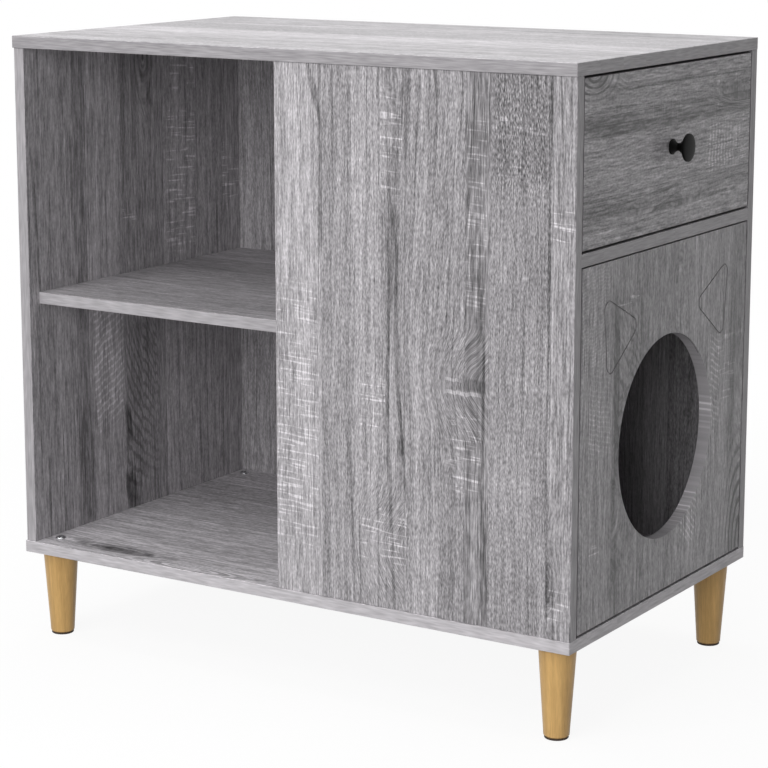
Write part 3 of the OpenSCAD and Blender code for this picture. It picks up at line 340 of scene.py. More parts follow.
# Boards. Places are in mm: across is the board's third axis, beside face and grain, and along is the grain.
# A stave is (start, tone, mottle) and each patch is a field with soft edges. A shadow whose dark is below 0
# is a lighter band.
boards = {
    "front_panel": {
        "face": "Y", "grain": "Z", "low": -14, "high": 388, "seed": 3, "crisp": 1.35,
        "staves": [(-14, 0.105, 0.42), (52, 0.015, 0.58), (140, -0.03, 0.50), (167, 0.01, 0.60),
                   (247, -0.09, 0.25), (279, -0.02, 0.66), (357, 0.0, 0.42)],
        "leans": [{"across": (150, 262), "along": (380, 800), "slope": 0.045}],
        "sweeps": [{"at": (279, 408), "reach": 70, "width": 105, "side": -1, "shift": 38},
                   {"at": (167, 205), "reach": 80, "width": 100, "side": -1, "shift": 32}],
        "knots": [{"at": (357, 190), "size": (10, 30), "side": 1, "dark": 0.05}],
        "shadows": [{"across": (96, 136), "along": (140, 800), "dark": -0.06},
                    {"across": (10, 40), "along": (180, 700), "dark": -0.03},
                    {"across": (144, 148), "along": (340, 560), "dark": 0.20, "ragged": 0.5},
                    {"across": (148, 153), "along": (110, 345), "lean": -0.041, "dark": 0.20, "ragged": 0.5},
                    {"across": (143, 147), "along": (545, 640), "dark": 0.10, "ragged": 0.4},
                    {"across": (150, 154), "along": (545, 635), "lean": -0.15, "dark": 0.12, "ragged": 0.4},
                    {"across": (155, 159), "along": (395, 570), "dark": 0.14, "ragged": 0.5},
                    {"across": (162, 166), "along": (262, 408), "lean": -0.09, "dark": 0.20, "ragged": 0.5},
                    {"across": (158, 168), "along": (315, 338), "dark": 0.16, "ragged": 0.3},
                    {"across": (148, 158), "along": (490, 610), "dark": 0.12, "ragged": 0.5},
                    {"across": (147, 154), "along": (300, 500), "dark": -0.06, "ragged": 0.5},
                    {"across": (272, 279), "along": (150, 480), "dark": 0.26},
                    {"across": (262, 279), "along": (400, 560), "dark": 0.10},
                    {"across": (238, 280), "along": (402, 416), "dark": 0.13, "ragged": 0.15},
                    {"across": (222, 270), "along": (396, 401), "dark": -0.22, "ragged": 0.15},
                    {"across": (222, 244), "along": (411, 415), "dark": -0.18, "ragged": 0.15},
                    {"across": (47, 52), "along": (540, 700), "dark": 0.22},
                    {"across": (38, 44), "along": (685, 780), "lean": -0.20, "dark": 0.22},
                    {"across": (279, 353), "along": (640, 790), "dark": 0.11},
                    {"across": (167, 175), "along": (640, 800), "dark": 0.12, "ragged": 0.15},
                    {"across": (353, 358), "along": (480, 780), "dark": 0.24, "ragged": 0.4},
                    {"across": (355, 358), "along": (150, 500), "dark": 0.16, "ragged": 0.4},
                    {"across": (355, 361), "along": (165, 215), "dark": 0.22, "ragged": 0.4},
                    {"across": (359, 362), "along": (300, 700), "dark": -0.12}],
        "saws": [{"across": (133, 166), "along": (610, 750), "strength": 1.1},
                 {"across": (-12, 48), "along": (180, 510)},
                 {"across": (107, 142), "along": (338, 400), "strength": 1.2},
                 {"across": (225, 272), "along": (275, 375), "strength": 1.1},
                 {"across": (104, 172), "along": (178, 242), "strength": 1.3},
                 {"across": (250, 278), "along": (480, 740), "strength": 0.8},
                 {"across": (358, 388), "along": (575, 622), "strength": 1.3},
                 {"across": (358, 388), "along": (140, 200), "strength": 0.9},
                 {"across": (283, 352), "along": (690, 712), "strength": 0.6},
                 {"across": (283, 330), "along": (640, 668), "strength": 0.5},
                 {"across": (281, 352), "along": (620, 770), "fleck": 2.2}]},
    "left_side_panel": {
        # Painted light: tone 0.08 lightens the whole panel, standing in for light on its inner face in the
        # open bay
        "face": "X", "grain": "Z", "low": -238, "high": 238, "seed": 11, "coarse": 1.5, "tone": 0.08,
        "staves": [(-238, 0.0, 0.35), (-144, -0.10, 0.3), (-120, 0.05, 0.35), (-45, -0.05, 0.3),
                   (43, 0.03, 0.45), (121, -0.02, 0.4), (178, -0.01, 0.3)],
        "knots": [{"at": (5, 742), "size": (11, 36), "dark": 0.08, "lines": 8.0, "deep": 0.18}],
        "shadows": [{"across": (-45, -32), "along": (222, 275), "lean": -0.12, "dark": 0.24},
                    {"across": (-45, -22), "along": (120, 185), "lean": -0.20, "dark": 0.24},
                    {"across": (-45, 0), "along": (130, 380), "dark": 0.06},
                    {"across": (-44, -38), "along": (560, 770), "dark": 0.14},
                    {"across": (-20, -12), "along": (600, 770), "dark": 0.12},
                    {"across": (-150, -145), "along": (540, 650), "dark": 0.22, "ragged": 0.4},
                    {"across": (-222, -217), "along": (430, 640), "lean": -0.07, "dark": 0.16, "ragged": 0.4},
                    {"across": (-140, -112), "along": (130, 300), "dark": 0.08}],
        "saws": [{"across": (52, 118), "along": (470, 660), "strength": 1.2},
                 {"across": (63, 118), "along": (690, 735)}, {"across": (180, 221), "along": (520, 610)},
                 {"across": (-45, -15), "along": (520, 545)},
                 {"across": (-44, 26), "along": (140, 400), "comb": -44, "slope": 0.5, "rate": 260,
                  "strength": -0.7, "fan": 140, "closing": 12},
                 {"across": (-112, -50), "along": (250, 435), "comb": -60, "slope": -0.45, "rate": 620,
                  "strength": 0.7}]},
    "back_panel": {
        "face": "Y", "grain": "Z", "low": -396, "high": 388, "seed": 17, "tone": -0.05,
        # Painted light: both lighter fields stand in for light inside the room behind the entry hole
        "shadows": [{"across": (-10, 400), "along": (90, 590), "dark": -0.08},
                    {"across": (110, 270), "along": (90, 590), "dark": -0.07}],
        "staves": [(-396, 0.03, 0.5)] + evenStaves(-325, 388, 5)},
    "divider_panel": {
        # Painted light: tone 0.06 lightens the divider, standing in for light inside the room behind the
        # entry hole
        "face": "X", "grain": "Z", "low": -222, "high": 222, "seed": 23, "tone": 0.06,
        "staves": evenStaves(-222, 222, 6)},
    "door_panel": {
        "face": "X", "grain": "Z", "low": -219, "high": 220, "seed": 29,
        "coarse": 1.9, "crisp": 1.15, "tone": -0.03,
        "hole": {"at": (0.25, 320), "reach": 125.5},
        "engraved": [(385.2, 386.2, -172, 172, 405, 522)],
        "staves": [(-219, 0.045, 0.45), (-159, 0.01, 0.4), (-139, -0.03, 0.45), (25, 0.0, 0.5),
                   (59, 0.05, 0.45), (134, 0.03, 0.4), (178, -0.05, 0.35)],
        "knots": [{"at": (-139, 262), "size": (16, 30), "side": 1, "dark": 0.03},
                  {"at": (222, 140), "size": (19, 46), "side": -1, "dark": 0.04, "fade": 4.4, "rings": 0.8,
                   "lines": 12.5, "deep": 0.55},
                  {"at": (30, 500), "size": (8, 26), "dark": 0.0}],
        "shadows": [{"across": (-139, -122), "along": (290, 510), "lean": -0.03, "dark": 0.24},
                    {"across": (-140, -128), "along": (150, 330), "dark": 0.14},
                    {"across": (-112, -106), "along": (390, 480), "lean": -0.72, "dark": 0.17, "ragged": 0.3},
                    {"across": (-124, -118), "along": (375, 445), "lean": -0.65, "dark": 0.20, "ragged": 0.3},
                    {"across": (-102, -98), "along": (420, 500), "lean": -0.55, "dark": 0.12, "ragged": 0.3},
                    {"across": (-132, -128), "along": (330, 400), "lean": -0.35, "dark": 0.14, "ragged": 0.3},
                    {"across": (176, 190), "along": (260, 500), "dark": 0.14},
                    {"across": (156, 170), "along": (290, 420), "dark": -0.07},
                    {"across": (140, 216), "along": (411, 417), "dark": -0.10, "ragged": 0.3},
                    {"across": (-125, -100), "along": (180, 245), "lean": 0.55, "dark": 0.08},
                    {"across": (-219, -208), "along": (120, 560), "dark": 0.05},
                    {"across": (190, 210), "along": (380, 560), "dark": 0.10}],
        "saws": [{"across": (-217, -150), "along": (430, 560), "comb": -215, "slope": -0.10, "rate": 1500,
                  "strength": 0.7},
                 {"across": (-200, -142), "along": (330, 440), "comb": -215, "slope": 0.30, "rate": 1100,
                  "strength": 0.5},
                 {"across": (-138, -62), "along": (310, 520), "comb": -138, "slope": 0.0, "rate": 300,
                  "strength": -1.1, "fan": 330, "closing": 11},
                 {"across": (-135, -60), "along": (492, 502), "strength": 1.4},
                 {"across": (138, 194), "along": (330, 420), "strength": 0.8},
                 {"across": (118, 150), "along": (300, 430), "comb": 118, "slope": 0.45, "rate": 820,
                  "strength": 0.9},
                 {"across": (40, 92), "along": (178, 236), "comb": 40, "slope": 0.9, "rate": 700},
                 {"across": (-194, -166), "along": (210, 230)}]},
    "drawer_front": {
        "face": "X", "grain": "Y", "low": 571, "high": 762, "seed": 31, "coarse": 1.6, "crisp": 1.45,
        "staves": [(571, 0.0, 0.4), (604, -0.05, 0.4), (626, 0.04, 0.4), (692, -0.09, 0.35),
                   (716, -0.02, 0.4), (745, 0.0, 0.3)],
        "knots": [{"at": (766, -196), "size": (13, 24), "side": -1, "dark": 0.03, "fade": 3.6, "rings": 0.8,
                   "lines": 11.0, "deep": 0.5},
                  {"at": (596, -10), "size": (9, 44), "side": 1, "dark": 0.08, "rings": 1.6},
                  {"at": (720, 215), "size": (9, 40), "dark": 0.06, "rings": 1.6}],
        "shadows": [{"across": (692, 712), "along": (-230, 240), "dark": 0.10},
                    {"across": (694, 708), "along": (-230, -80), "lean": -0.06, "dark": 0.12},
                    {"across": (598, 622), "along": (-230, -60), "dark": 0.12},
                    {"across": (712, 728), "along": (60, 240), "dark": 0.08},
                    {"across": (595, 601), "along": (-60, 120), "dark": 0.14},
                    {"across": (645, 675), "along": (-200, 60), "dark": -0.03},
                    {"across": (742, 745), "along": (-165, 225), "lean": 0.004, "dark": 0.26, "ragged": 0.5},
                    {"across": (721, 724), "along": (-190, 60), "lean": -0.05, "dark": 0.18, "ragged": 0.5},
                    {"across": (615, 618), "along": (-200, 30), "lean": 0.05, "dark": 0.22, "ragged": 0.5},
                    {"across": (604, 607), "along": (-60, 40), "lean": 0.22, "dark": 0.22, "ragged": 0.4},
                    {"across": (598, 601), "along": (100, 190), "dark": 0.24, "ragged": 0.4}],
        "saws": [{"across": (694, 728), "along": (-62, 45), "strength": 0.9},
                 {"across": (690, 745), "along": (110, 130), "strength": 0.8},
                 {"across": (695, 750), "along": (172, 192), "strength": 0.8},
                 {"across": (628, 690), "along": (98, 208), "strength": 0.7},
                 {"across": (626, 688), "along": (95, 205), "comb": 600, "slope": 0.0, "rate": 740,
                  "strength": 1.5}]},
    "top_board": {
        "face": "Z", "grain": "X", "low": -238, "high": 238, "seed": 37, "tone": 0.02, "crisp": 1.1,
        "staves": evenStaves(-238, 238, 9)},
    "bottom_board": {
        "face": "Z", "grain": "X", "low": -238, "high": 238, "seed": 41,
        # Painted light: the raised tone lightens the board, standing in for light that falls on the bay's
        # floor from above and in front
        "tone": 0.23, "coarse": 1.7, "crisp": 1.2,
        "staves": [(-238, -0.02, 0.4), (-196, 0.03, 0.3), (-120, 0.02, 0.4), (-40, -0.03, 0.35)]
        + evenStaves(30, 238, 12),
        "knots": [{"at": (-208, -288), "size": (9, 44), "dark": 0.36, "core": 2.2, "rings": 1.8,
                   "lines": 7.0, "deep": 0.20},
                  {"at": (-228, -150), "size": (7, 46), "dark": 0.06, "rings": 1.6,
                   "lines": 10.0, "deep": -0.40}]},
    "shelf": {
        # Painted light: the raised tone lightens the shelf, standing in for light that falls on it inside the
        # bay
        "face": "Z", "grain": "X", "low": -218, "high": 222, "seed": 43, "tone": 0.11, "coarse": 1.5,
        "staves": evenStaves(-218, 222, 13)},
    "room_ceiling": {
        "face": "Z", "grain": "X", "low": -222, "high": 222, "seed": 47,
        "staves": evenStaves(-222, 222, 14)},
    "drawer_side_front": {
        "face": "Y", "grain": "X", "low": 591, "high": 722, "seed": 51, "quiet": 0.5, "tone": 0.04,
        "staves": evenStaves(591, 722, 15)},
    "drawer_side_back": {
        "face": "Y", "grain": "X", "low": 591, "high": 722, "seed": 53, "quiet": 0.5, "tone": 0.04,
        "staves": evenStaves(591, 722, 16)},
    "drawer_rear": {
        "face": "X", "grain": "Y", "low": 591, "high": 722, "seed": 57, "quiet": 0.5, "tone": 0.04,
        "staves": evenStaves(591, 722, 17)},
    "drawer_bottom": {
        "face": "Z", "grain": "X", "low": -200, "high": 200, "seed": 59, "quiet": 0.4, "tone": 0.06,
        "staves": evenStaves(-200, 200, 18)},
}


def dress(node, material):
    mesh = nodes[node].data
    mesh.materials.clear()
    mesh.materials.append(material)


for node, board in boards.items():
    dress(node, laminate(node + "_laminate", board))
print("laminate boards dressed:", len(boards))


# Solid wood of the legs and dowels
legs = {"dark": (0.43, 0.252, 0.084), "light": (0.74, 0.463, 0.174), "roughness": 0.42}
beech = {"dark": (0.42, 0.26, 0.12), "light": (0.72, 0.52, 0.31), "roughness": 0.7}
woodFibres = {  # width, length and depth of each kind of fibre, in metres
    "bend": (0.02, 0.15, 0.02),
    "ring": (0.005, 0.16, 0.012),
    "fine": (0.0009, 0.022, 0.0012),
}


def solidWood(name, wood):  # grain along Z
    shade = Finish(name)
    place = shade.axes("Object")

    def pattern(kind, across, detail=2.0):
        wide, tall, deep = woodFibres[kind]
        return shade.fibres(across, place["Z"], place["Y"] / deep, (wide, tall), detail)

    bend = pattern("bend", place["X"])
    bent = place["X"] + bend * 0.004
    ring = pattern("ring", bent)
    fine = pattern("fine", bent, 3.0)
    tone = ring * 1.3 + fine * 0.8 + bend * 0.5 + 0.55
    colour = shade.blend(tone.held(), wood["dark"], wood["light"])
    return shade.coat(colour, wood["roughness"] - fine * 0.2, fine, 0.0001)


corners = ("front_left", "front_right", "back_left", "back_right")
legWood = solidWood("lacquered_leg_wood", legs)
for corner in corners:
    dress("leg_" + corner, legWood)
dowelWood = solidWood("raw_dowel_wood", beech)


# Metal, plastic and pads: size is how wide a speck is, and lift how high it stands, in metres
coats = {
    "zinc_plated_steel": {
        "dark": (0.50, 0.51, 0.53), "light": (0.78, 0.78, 0.79), "roughness": 0.30, "size": 0.003,
        "extra": {"Metallic": 1.0},
        "nodes": ["shelf_pins", "leg_inserts", "cam_locks", "cam_bolts", "cabinet_runner_rivets",
                  "hinge_pin_lower", "hinge_pin_upper", "strike_plate", "drawer_cam_locks",
                  "drawer_cam_bolts", "drawer_runner_rivets"]},
    "runner_steel": {
        "dark": (0.52, 0.53, 0.55), "light": (0.74, 0.74, 0.75), "roughness": 0.34, "size": 0.004,
        "brushed": "X", "extra": {"Metallic": 1.0},
        "nodes": ["cabinet_runner_front", "cabinet_runner_back", "drawer_runner_front",
                  "drawer_runner_back"]},
    "white_nylon": {
        "dark": (0.72, 0.72, 0.69), "light": (0.84, 0.84, 0.81), "roughness": 0.42, "size": 0.006,
        "nodes": ["magnet_catch", "cabinet_roller_front", "cabinet_roller_back", "drawer_roller_front",
                  "drawer_roller_back"]},
    "grey_nylon": {
        "dark": (0.070, 0.070, 0.074), "light": (0.11, 0.11, 0.115), "roughness": 0.50, "size": 0.004,
        "nodes": ["hinge_bush_lower", "hinge_bush_upper", "hinge_washer"]},
    "black_knob_coat": {
        "dark": (0.002, 0.002, 0.002), "light": (0.004, 0.004, 0.004), "roughness": 0.46, "size": 0.0015,
        "extra": {"Specular IOR Level": 0.06}, "nodes": ["drawer_knob"]},
    "dark_foot_pad": {
        "dark": (0.030, 0.020, 0.014), "light": (0.065, 0.045, 0.032), "roughness": 0.8, "size": 0.0012,
        "lift": 0.0002, "nodes": ["foot_pad_" + corner for corner in corners]},
    "magnet_ferrite": {
        "dark": (0.020, 0.020, 0.022), "light": (0.05, 0.05, 0.055), "roughness": 0.55, "size": 0.001,
        "nodes": ["catch_magnet"]},
}
plainLift = 0.00005
brushedThin, brushedLong = 0.2, 20  # a brushed speck's width and length, as times its size


def speckled(name, coat):
    shade = Finish(name)
    place, size = shade.axes("Object"), coat["size"]
    if "brushed" in coat:
        along = coat["brushed"]
        one, two = [place[axis] for axis in "XYZ" if axis != along]
        grain = shade.fibres(one, place[along], two / size, (size * brushedThin, size * brushedLong), 3.0)
    else:
        grain = shade.fibres(place["X"], place["Y"], place["Z"] / size, (size, size), 3.0)
    colour = shade.blend((grain * 1.6 + 0.5).held(), coat["dark"], coat["light"])
    roughness = grain * 0.25 + coat["roughness"]
    return shade.coat(colour, roughness, grain, coat.get("lift", plainLift), coat.get("extra"))


coated = {name: speckled(name, coat) for name, coat in coats.items()}
for name, coat in coats.items():
    for node in coat["nodes"]:
        dress(node, coated[name])
zinc = coated["zinc_plated_steel"]
print("metal, plastic and wood dressed")


# Screws, bolts and dowels: each kind is an outline turned round its axis, threaded or fluted,
# and set at every place where the CAD node has one. Outlines are (depth, radius) in mm from the head.
hardware = {
    "base_screws": {
        "body": "cabinet", "slot": "zinc_steel", "finish": zinc, "sides": 20,
        "outline": [(0, 4.7), (0.4, 5.0), (3.0, 3.5), (15.0, 3.5), (15.6, 2.5), (45.0, 2.5), (49.5, 0.5)],
        "threaded": (15.8, 45.0), "pitch": 3.0, "threadDepth": 0.75,
        "recess": "cross", "recessReach": 5.6, "recessWidth": 1.2, "recessDepth": 2.4},
    "leg_bolts": {
        "body": "cabinet", "slot": "zinc_steel", "finish": zinc, "sides": 28,
        "outline": [(0, 5.3), (0.35, 6.0), (0.9, 6.7), (1.5, 7.0), (2.2, 7.0), (2.25, 4.0),
                    (34.2, 4.0), (35.1, 3.3)],
        "threaded": (3.0, 34.2), "pitch": 1.25, "threadDepth": 0.5,
        "recess": "hex", "recessReach": 4.8, "recessWidth": 4.8, "recessDepth": 3.6},
    "cabinet_runner_screws": {
        "body": "cabinet", "slot": "zinc_steel", "finish": zinc, "sides": 16,
        "outline": [(0, 1.9), (0.25, 2.6), (0.6, 3.0), (0.62, 1.75), (10.4, 1.75), (12.5, 0.3)],
        "threaded": (0.9, 10.4), "pitch": 1.3, "threadDepth": 0.45,
        "recess": "cross", "recessReach": 3.2, "recessWidth": 0.8, "recessDepth": 0.9},
    "drawer_runner_screws": {
        "body": "drawer", "slot": "zinc_steel", "finish": zinc, "sides": 16,
        "outline": [(0, 1.9), (0.3, 2.5), (0.9, 2.85), (1.5, 3.0), (1.52, 1.75), (9.4, 1.75), (11.4, 0.3)],
        "threaded": (1.9, 9.4), "pitch": 1.3, "threadDepth": 0.45,
        "recess": "cross", "recessReach": 3.2, "recessWidth": 0.8, "recessDepth": 1.2},
    "catch_screws": {
        "body": "cabinet", "slot": "zinc_steel", "finish": zinc, "sides": 16,
        "outline": [(0, 1.9), (0.3, 2.5), (0.9, 2.8), (1.8, 3.0), (1.82, 1.75), (23.6, 1.75), (25.7, 0.3)],
        "threaded": (8.0, 23.6), "pitch": 1.3, "threadDepth": 0.45,
        "recess": "cross", "recessReach": 3.2, "recessWidth": 0.8, "recessDepth": 1.3},
    "strike_screws": {
        "body": "door", "slot": "zinc_steel", "finish": zinc, "sides": 16,
        "outline": [(0, 2.9), (0.15, 3.0), (1.8, 1.75), (9.0, 1.75), (10.9, 0.3)],
        "threaded": (2.2, 9.0), "pitch": 1.3, "threadDepth": 0.45,
        "recess": "cross", "recessReach": 3.2, "recessWidth": 0.8, "recessDepth": 1.3},
    "drawer_rear_screws": {
        "body": "drawer", "slot": "zinc_steel", "finish": zinc, "sides": 18,
        "outline": [(0, 4.3), (0.3, 4.5), (2.5, 2.5), (36.5, 2.5), (39.8, 0.4)],
        "threaded": (12.0, 36.5), "pitch": 2.2, "threadDepth": 0.65,
        "recess": "cross", "recessReach": 4.8, "recessWidth": 1.1, "recessDepth": 2.0},
    "knob_screw": {
        "body": "drawer", "slot": "zinc_steel", "finish": zinc, "sides": 20,
        "outline": [(0, 2.6), (0.5, 3.4), (1.2, 3.85), (2.0, 4.0), (2.4, 4.0), (2.42, 2.0),
                    (26.8, 2.0), (27.3, 1.6)],
        "threaded": (3.0, 26.8), "pitch": 0.7, "threadDepth": 0.3,
        "recess": "cross", "recessReach": 4.4, "recessWidth": 1.0, "recessDepth": 1.5},
    "dowels": {
        "body": "cabinet", "slot": "dowel_wood", "finish": dowelWood, "sides": 48,
        "outline": [(0, 3.0), (0.5, 3.6), (1.0, 4.0), (29.0, 4.0), (29.5, 3.6), (29.99, 3.0)],
        "threaded": (1.0, 29.0), "flutes": 16, "fluteDepth": 0.3},
    "drawer_dowels": {
        "body": "drawer", "slot": "dowel_wood", "finish": dowelWood, "sides": 36,
        "outline": [(0, 2.3), (0.4, 2.7), (0.8, 3.0), (24.2, 3.0), (24.6, 2.7), (24.99, 2.3)],
        "threaded": (0.8, 24.2), "flutes": 12, "fluteDepth": 0.25},
}


def solidsOf(node):  # the separate solids of a CAD node, as lists of points
    mesh = bmesh.new()
    mesh.from_mesh(nodes[node].data)
    bmesh.ops.remove_doubles(mesh, verts=mesh.verts, dist=1e-6)
    mesh.verts.index_update()
    waiting, solids = {vert.index: vert for vert in mesh.verts}, []
    while waiting:
        edge, solid = [waiting.pop(min(waiting))], []
        while edge:
            vert = edge.pop()
            solid.append(vert.co.copy())
            for link in vert.link_edges:
                other = link.other_vert(vert)
                if other.index in waiting:
                    edge.append(waiting.pop(other.index))
        solids.append(solid)
    mesh.free()
    return solids


headReach = 0.0026  # how far from an end of a screw its girth is measured, in metres
ringsPerTurn = 4
sharpAngle = math.radians(38)


def headSpot(solid):  # middle of the head's face, and the way the head looks
    low = Vector([min(point[i] for point in solid) for i in range(3)])
    high = Vector([max(point[i] for point in solid) for i in range(3)])
    size, middle = high - low, (low + high) / 2
    axis = max(range(3), key=lambda i: size[i])
    around = [i for i in range(3) if i != axis]
    girth = []
    for end in (low, high):
        close = [point for point in solid if abs(point[axis] - end[axis]) < headReach]
        girth.append(max(math.hypot(*[point[i] - middle[i] for i in around]) for point in close))
    up = girth[1] > girth[0]
    spot, aim = middle.copy(), Vector()
    spot[axis] = high[axis] if up else low[axis]
    aim[axis] = 1.0 if up else -1.0
    return spot, aim


def outlineRings(kind):  # (depth, radius, threaded) for every ring
    rings = [(z, r, 0.0) for z, r in kind["outline"]]
    start, end = kind["threaded"]
    if "pitch" in kind:
        step = kind["pitch"] / ringsPerTurn
        radius = max(r for z, r, _ in rings if z >= end - 0.01)
        count = int((end - start) / step)
        rings += [(start + step * k, radius, min(1.0, k / 3, (count - k) / 2)) for k in range(count + 1)]
        rings = [ring for ring in rings if ring[2] or not start <= ring[0] <= end]
    else:
        rings = [(z, r, float(start <= z <= end)) for z, r, _ in rings]
    return sorted(rings)


turnedInputs = {"Sides": "Int", "Pitch": "Float", "Thread Depth": "Float", "Flutes": "Float",
                "Flute Depth": "Float", "Recess Reach": "Float", "Recess Width": "Float",
                "Recess Depth": "Float", "Spin Seed": "Int", "Finish": "Material"}


def turnedTree(name, recess):
    tree = bpy.data.node_groups.new(name, "GeometryNodeTree")
    tree.interface.new_socket("Geometry", in_out="INPUT", socket_type="NodeSocketGeometry")
    for label, kind in turnedInputs.items():
        tree.interface.new_socket(label, in_out="INPUT", socket_type="NodeSocket" + kind)
    tree.interface.new_socket("Geometry", in_out="OUTPUT", socket_type="NodeSocketGeometry")
    graph = Graph(tree)
    given = graph.make("NodeGroupInput")

    def named(attribute, kind="FLOAT"):
        return graph.make("GeometryNodeInputNamedAttribute", {"Name": attribute}, data_type=kind)

    apart = graph.make("GeometryNodeSeparateGeometry",
                       {"Geometry": given, "Selection": named("spot", "BOOLEAN")}, domain="POINT")
    outline = graph.make("GeometryNodeMeshToCurve", {"Mesh": apart.other("Inverted")})
    circle = graph.make("GeometryNodeCurvePrimitiveCircle",
                        {"Resolution": given.other("Sides"), "Radius": 1.0}, mode="RADIUS")
    part = graph.make("GeometryNodeCurveToMesh", {"Curve": outline, "Profile Curve": circle,
                                                  "Scale": named("girth"), "Fill Caps": True})

    # The thread and the flutes are cut in from the outline, so the piece never outgrows its hole
    place = graph.make("ShaderNodeSeparateXYZ", {0: graph.make("GeometryNodeInputPosition")})
    x, y, z = place, place.other("Y"), place.other("Z")
    turn = y.maths("ARCTAN2", x) / (2 * math.pi)
    thread = (1 - (z / given.other("Pitch") + turn).ridges()) * given.other("Thread Depth")
    flute = 1 - (turn * given.other("Flutes")).ridges()
    inward = (thread + flute * flute * given.other("Flute Depth")) * named("threaded")
    share = inward / (x * x + y * y).maths("SQRT").maths("MAXIMUM", 1e-5) * -1
    shift = graph.make("ShaderNodeCombineXYZ", {0: x * share, 1: y * share})
    part = graph.make("GeometryNodeSetPosition", {"Geometry": part, "Offset": shift})

    reach, width, deep = [given.other("Recess " + label) for label in ("Reach", "Width", "Depth")]
    cutters = []
    if recess == "cross":
        sizes = [graph.make("ShaderNodeCombineXYZ", {0: a, 1: b, 2: deep * 2})
                 for a, b in ((reach, width), (width, reach))]
        cutters = [graph.make("GeometryNodeMeshCube", {"Size": size}) for size in sizes]
    elif recess == "hex":
        cutters = [graph.make("GeometryNodeMeshCylinder",
                              {"Vertices": 6, "Radius": reach / 2, "Depth": deep * 2})]
    if cutters:
        part = graph.make("GeometryNodeMeshBoolean", {"Mesh 1": part, "Mesh 2": cutters},
                          operation="DIFFERENCE")

    aim = graph.make("FunctionNodeAlignRotationToVector", {"Vector": named("aim", "FLOAT_VECTOR")}, axis="Z")
    spots = graph.make("GeometryNodeMeshToPoints", {"Mesh": apart})
    placed = graph.make("GeometryNodeInstanceOnPoints", {"Points": spots, "Instance": part, "Rotation": aim})
    spin = graph.make("FunctionNodeRandomValue",
                      {2: 0.0, 3: 2 * math.pi, "Seed": given.other("Spin Seed")}, out=1, data_type="FLOAT")
    spun = graph.make("FunctionNodeAxisAngleToRotation", {"Axis": (0, 0, 1), "Angle": spin})
    placed = graph.make("GeometryNodeRotateInstances",
                        {"Instances": placed, "Rotation": spun, "Local Space": True})
    whole = graph.make("GeometryNodeRealizeInstances", {"Geometry": placed})
    done = graph.make("GeometryNodeSetMaterial", {"Geometry": whole, "Material": given.other("Finish")})
    graph.make("NodeGroupOutput", {"Geometry": done})
    return tree


def attach(mesh, name, kind, values):
    layer = mesh.attributes.new(name, kind, "POINT").data
    for slot, value in zip(layer, values):
        if kind == "FLOAT_VECTOR":
            slot.vector = value
        else:
            slot.value = value


trees = {recess: turnedTree("turned_" + (recess or "plain"), recess) for recess in ("cross", "hex", None)}
firstSeed = 5


def turnedSet(node, kind, seed):
    rings = outlineRings(kind)
    spots = [headSpot(solid) for solid in solidsOf(node)]
    points = [(0, 0, -z * mm) for z, _, _ in rings] + [spot for spot, _ in spots]
    links = [(k, k + 1) for k in range(len(rings) - 1)]
    mesh = bpy.data.meshes.new(node + "_turned")
    mesh.from_pydata(points, links, [])
    none = [0.0] * len(spots)
    attach(mesh, "girth", "FLOAT", [r * mm for _, r, _ in rings] + none)
    attach(mesh, "threaded", "FLOAT", [t for _, _, t in rings] + none)
    attach(mesh, "spot", "BOOLEAN", [False] * len(rings) + [True] * len(spots))
    attach(mesh, "aim", "FLOAT_VECTOR", [(0, 0, 1)] * len(rings) + [aim for _, aim in spots])
    piece = bpy.data.objects.new(node + "_turned", mesh)
    scene.collection.objects.link(piece)

    tree = trees[kind.get("recess")]
    values = {"Sides": kind["sides"], "Pitch": kind.get("pitch", 1.0) * mm,
              "Thread Depth": kind.get("threadDepth", 0.0) * mm,
              "Flutes": float(kind.get("flutes", 1)), "Flute Depth": kind.get("fluteDepth", 0.0) * mm,
              "Recess Reach": kind.get("recessReach", 1.0) * mm,
              "Recess Width": kind.get("recessWidth", 1.0) * mm,
              "Recess Depth": kind.get("recessDepth", 1.0) * mm,
              "Spin Seed": seed, "Finish": kind["finish"]}
    modifier = piece.modifiers.new("turned", "NODES")
    modifier.node_group = tree
    for item in tree.interface.items_tree:
        if item.in_out == "INPUT" and item.name in values:
            modifier[item.identifier] = values[item.name]
    solid = bpy.data.meshes.new_from_object(piece.evaluated_get(bpy.context.evaluated_depsgraph_get()))
    piece.modifiers.clear()
    piece.data = solid
    solid.shade_smooth()
    solid.set_sharp_from_angle(angle=sharpAngle)
    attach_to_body(piece, kind["body"])
    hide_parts(node)
    return len(spots)


made = {node: turnedSet(node, kind, seed) for seed, (node, kind) in enumerate(hardware.items(), firstSeed)}
print("turned with Geometry Nodes:", made)


# Studio: a white floor, a key light from the front left, a fill beside the camera and one above
studio = {
    "floorSeen": 0.90,          # the floor's grey as the camera sees it
    "floorBounce": 0.35,        # and as it lights the piece from below
    "lift": 0.92,               # share of plain white in it near the piece
    "fade": (0.8, 1.8),         # distances over which it fades to plain white
    "half": 8.0,                # half the floor's width
    "world": 0.175,
    "aim": (0, 0, 0.4),         # where the lights look
    "lights": {
        "key": {"at": (-0.63, -2.77, 3.47), "size": 1.6, "watts": 56},
        # The top board would mirror the fill light in low views from behind
        "fill": {"at": (0.9, -3.7, 1.35), "size": 2.2, "watts": 82, "mirrored": False},
        "top": {"at": (-0.3, 0.2, 3.4), "size": 2.6, "watts": 81}},
}
white = (1, 1, 1, 1)


def inView(graph):  # 1 where the camera or a reflection looks at the backdrop
    path = graph.make("ShaderNodeLightPath", out="Is Camera Ray")
    seen = path.maths("MAXIMUM", path.other("Is Glossy Ray"))
    return seen.maths("MAXIMUM", path.other("Is Transmission Ray"))


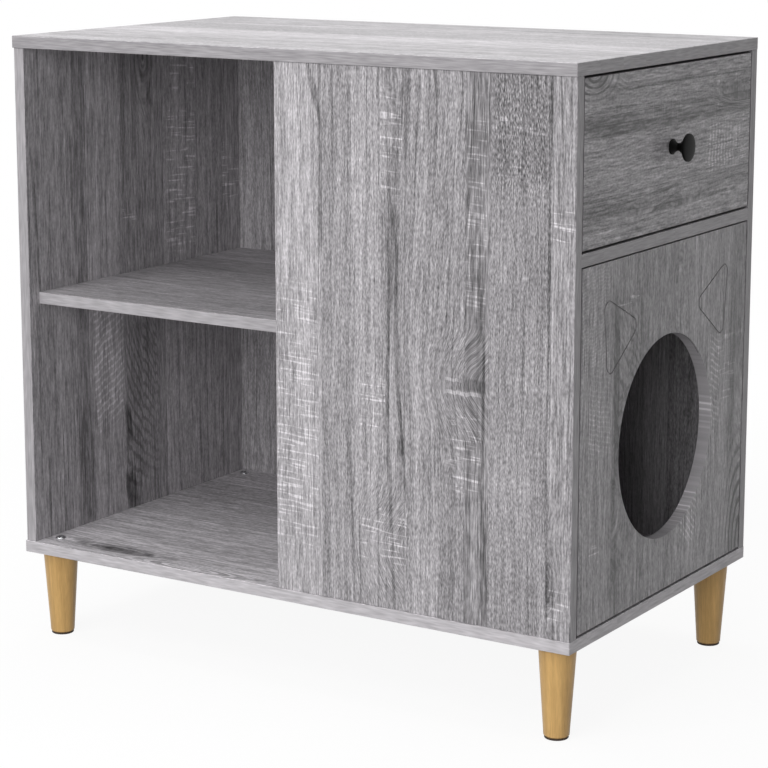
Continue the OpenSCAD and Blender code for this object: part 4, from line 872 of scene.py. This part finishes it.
def studioFloor():
    shade = Finish("white_floor")
    place = shade.axes("Object")
    far = (place["X"] * place["X"] + place["Y"] * place["Y"]).maths("SQRT").ease(*studio["fade"])
    bounce, paint = [shade.make("ShaderNodeBsdfDiffuse", {"Color": (grey, grey, grey, 1)})
                     for grey in (studio["floorBounce"], studio["floorSeen"])]
    glow = shade.make("ShaderNodeEmission", {"Color": white, "Strength": 1.0})
    whiter = far * (1 - studio["lift"]) + studio["lift"]
    shown = shade.make("ShaderNodeMixShader", {0: whiter, 1: paint, 2: glow})
    shade.close(shade.make("ShaderNodeMixShader", {0: inView(shade), 1: bounce, 2: shown}))
    mesh = bpy.data.meshes.new("floor")
    half = studio["half"]
    around = [(-half, -half, 0), (half, -half, 0), (half, half, 0), (-half, half, 0)]
    mesh.from_pydata(around, [], [(0, 1, 2, 3)])
    mesh.materials.append(shade.material)
    floor = bpy.data.objects.new("floor", mesh)
    scene.collection.objects.link(floor)


def studioWorld():
    world = bpy.data.worlds.new("studio")
    scene.world = world
    world.use_nodes = True
    air = Graph(world.node_tree)
    glow = air.make("ShaderNodeBackground", {"Color": white, "Strength": studio["world"]})
    plain = air.make("ShaderNodeBackground", {"Color": white, "Strength": 1.0})
    both = air.make("ShaderNodeMixShader", {0: inView(air), 1: glow, 2: plain})
    air.make("ShaderNodeOutputWorld", {"Surface": both})


def softLight(name, spec):
    light = bpy.data.lights.new(name, "AREA")
    light.shape, light.size, light.energy = "SQUARE", spec["size"], spec["watts"]
    lamp = bpy.data.objects.new(name, light)
    lamp.location = spec["at"]
    lamp.visible_glossy = spec.get("mirrored", True)
    lamp.rotation_euler = (Vector(studio["aim"]) - Vector(spec["at"])).to_track_quat("-Z", "Y").to_euler()
    scene.collection.objects.link(lamp)


studioFloor()
studioWorld()
for name, spec in studio["lights"].items():
    softLight(name + "_light", spec)


# Camera, from the photograph's perspective
view = {
    "at": (1.6264, -2.5738, 0.990),
    "turn": 32.459,
    "tilt": 10.63,
    "focal": 2438.2,      # in pixels of the photograph
    "pixels": 768,
    "sensor": 36.0,
    "shiftY": -0.08,
    "clip": (0.05, 50),
}
camera = bpy.data.cameras.new("camera")
camera.sensor_width, camera.lens = view["sensor"], view["focal"] / view["pixels"] * view["sensor"]
camera.shift_y = view["shiftY"]
camera.clip_start, camera.clip_end = view["clip"]
eye = bpy.data.objects.new("camera", camera)
eye.location = view["at"]
eye.rotation_euler = (math.radians(90 - view["tilt"]), 0, math.radians(view["turn"]))
scene.collection.objects.link(eye)
bpy.context.scene.camera = eye
scene.view_settings.view_transform = "Standard"
print("studio and camera ready")
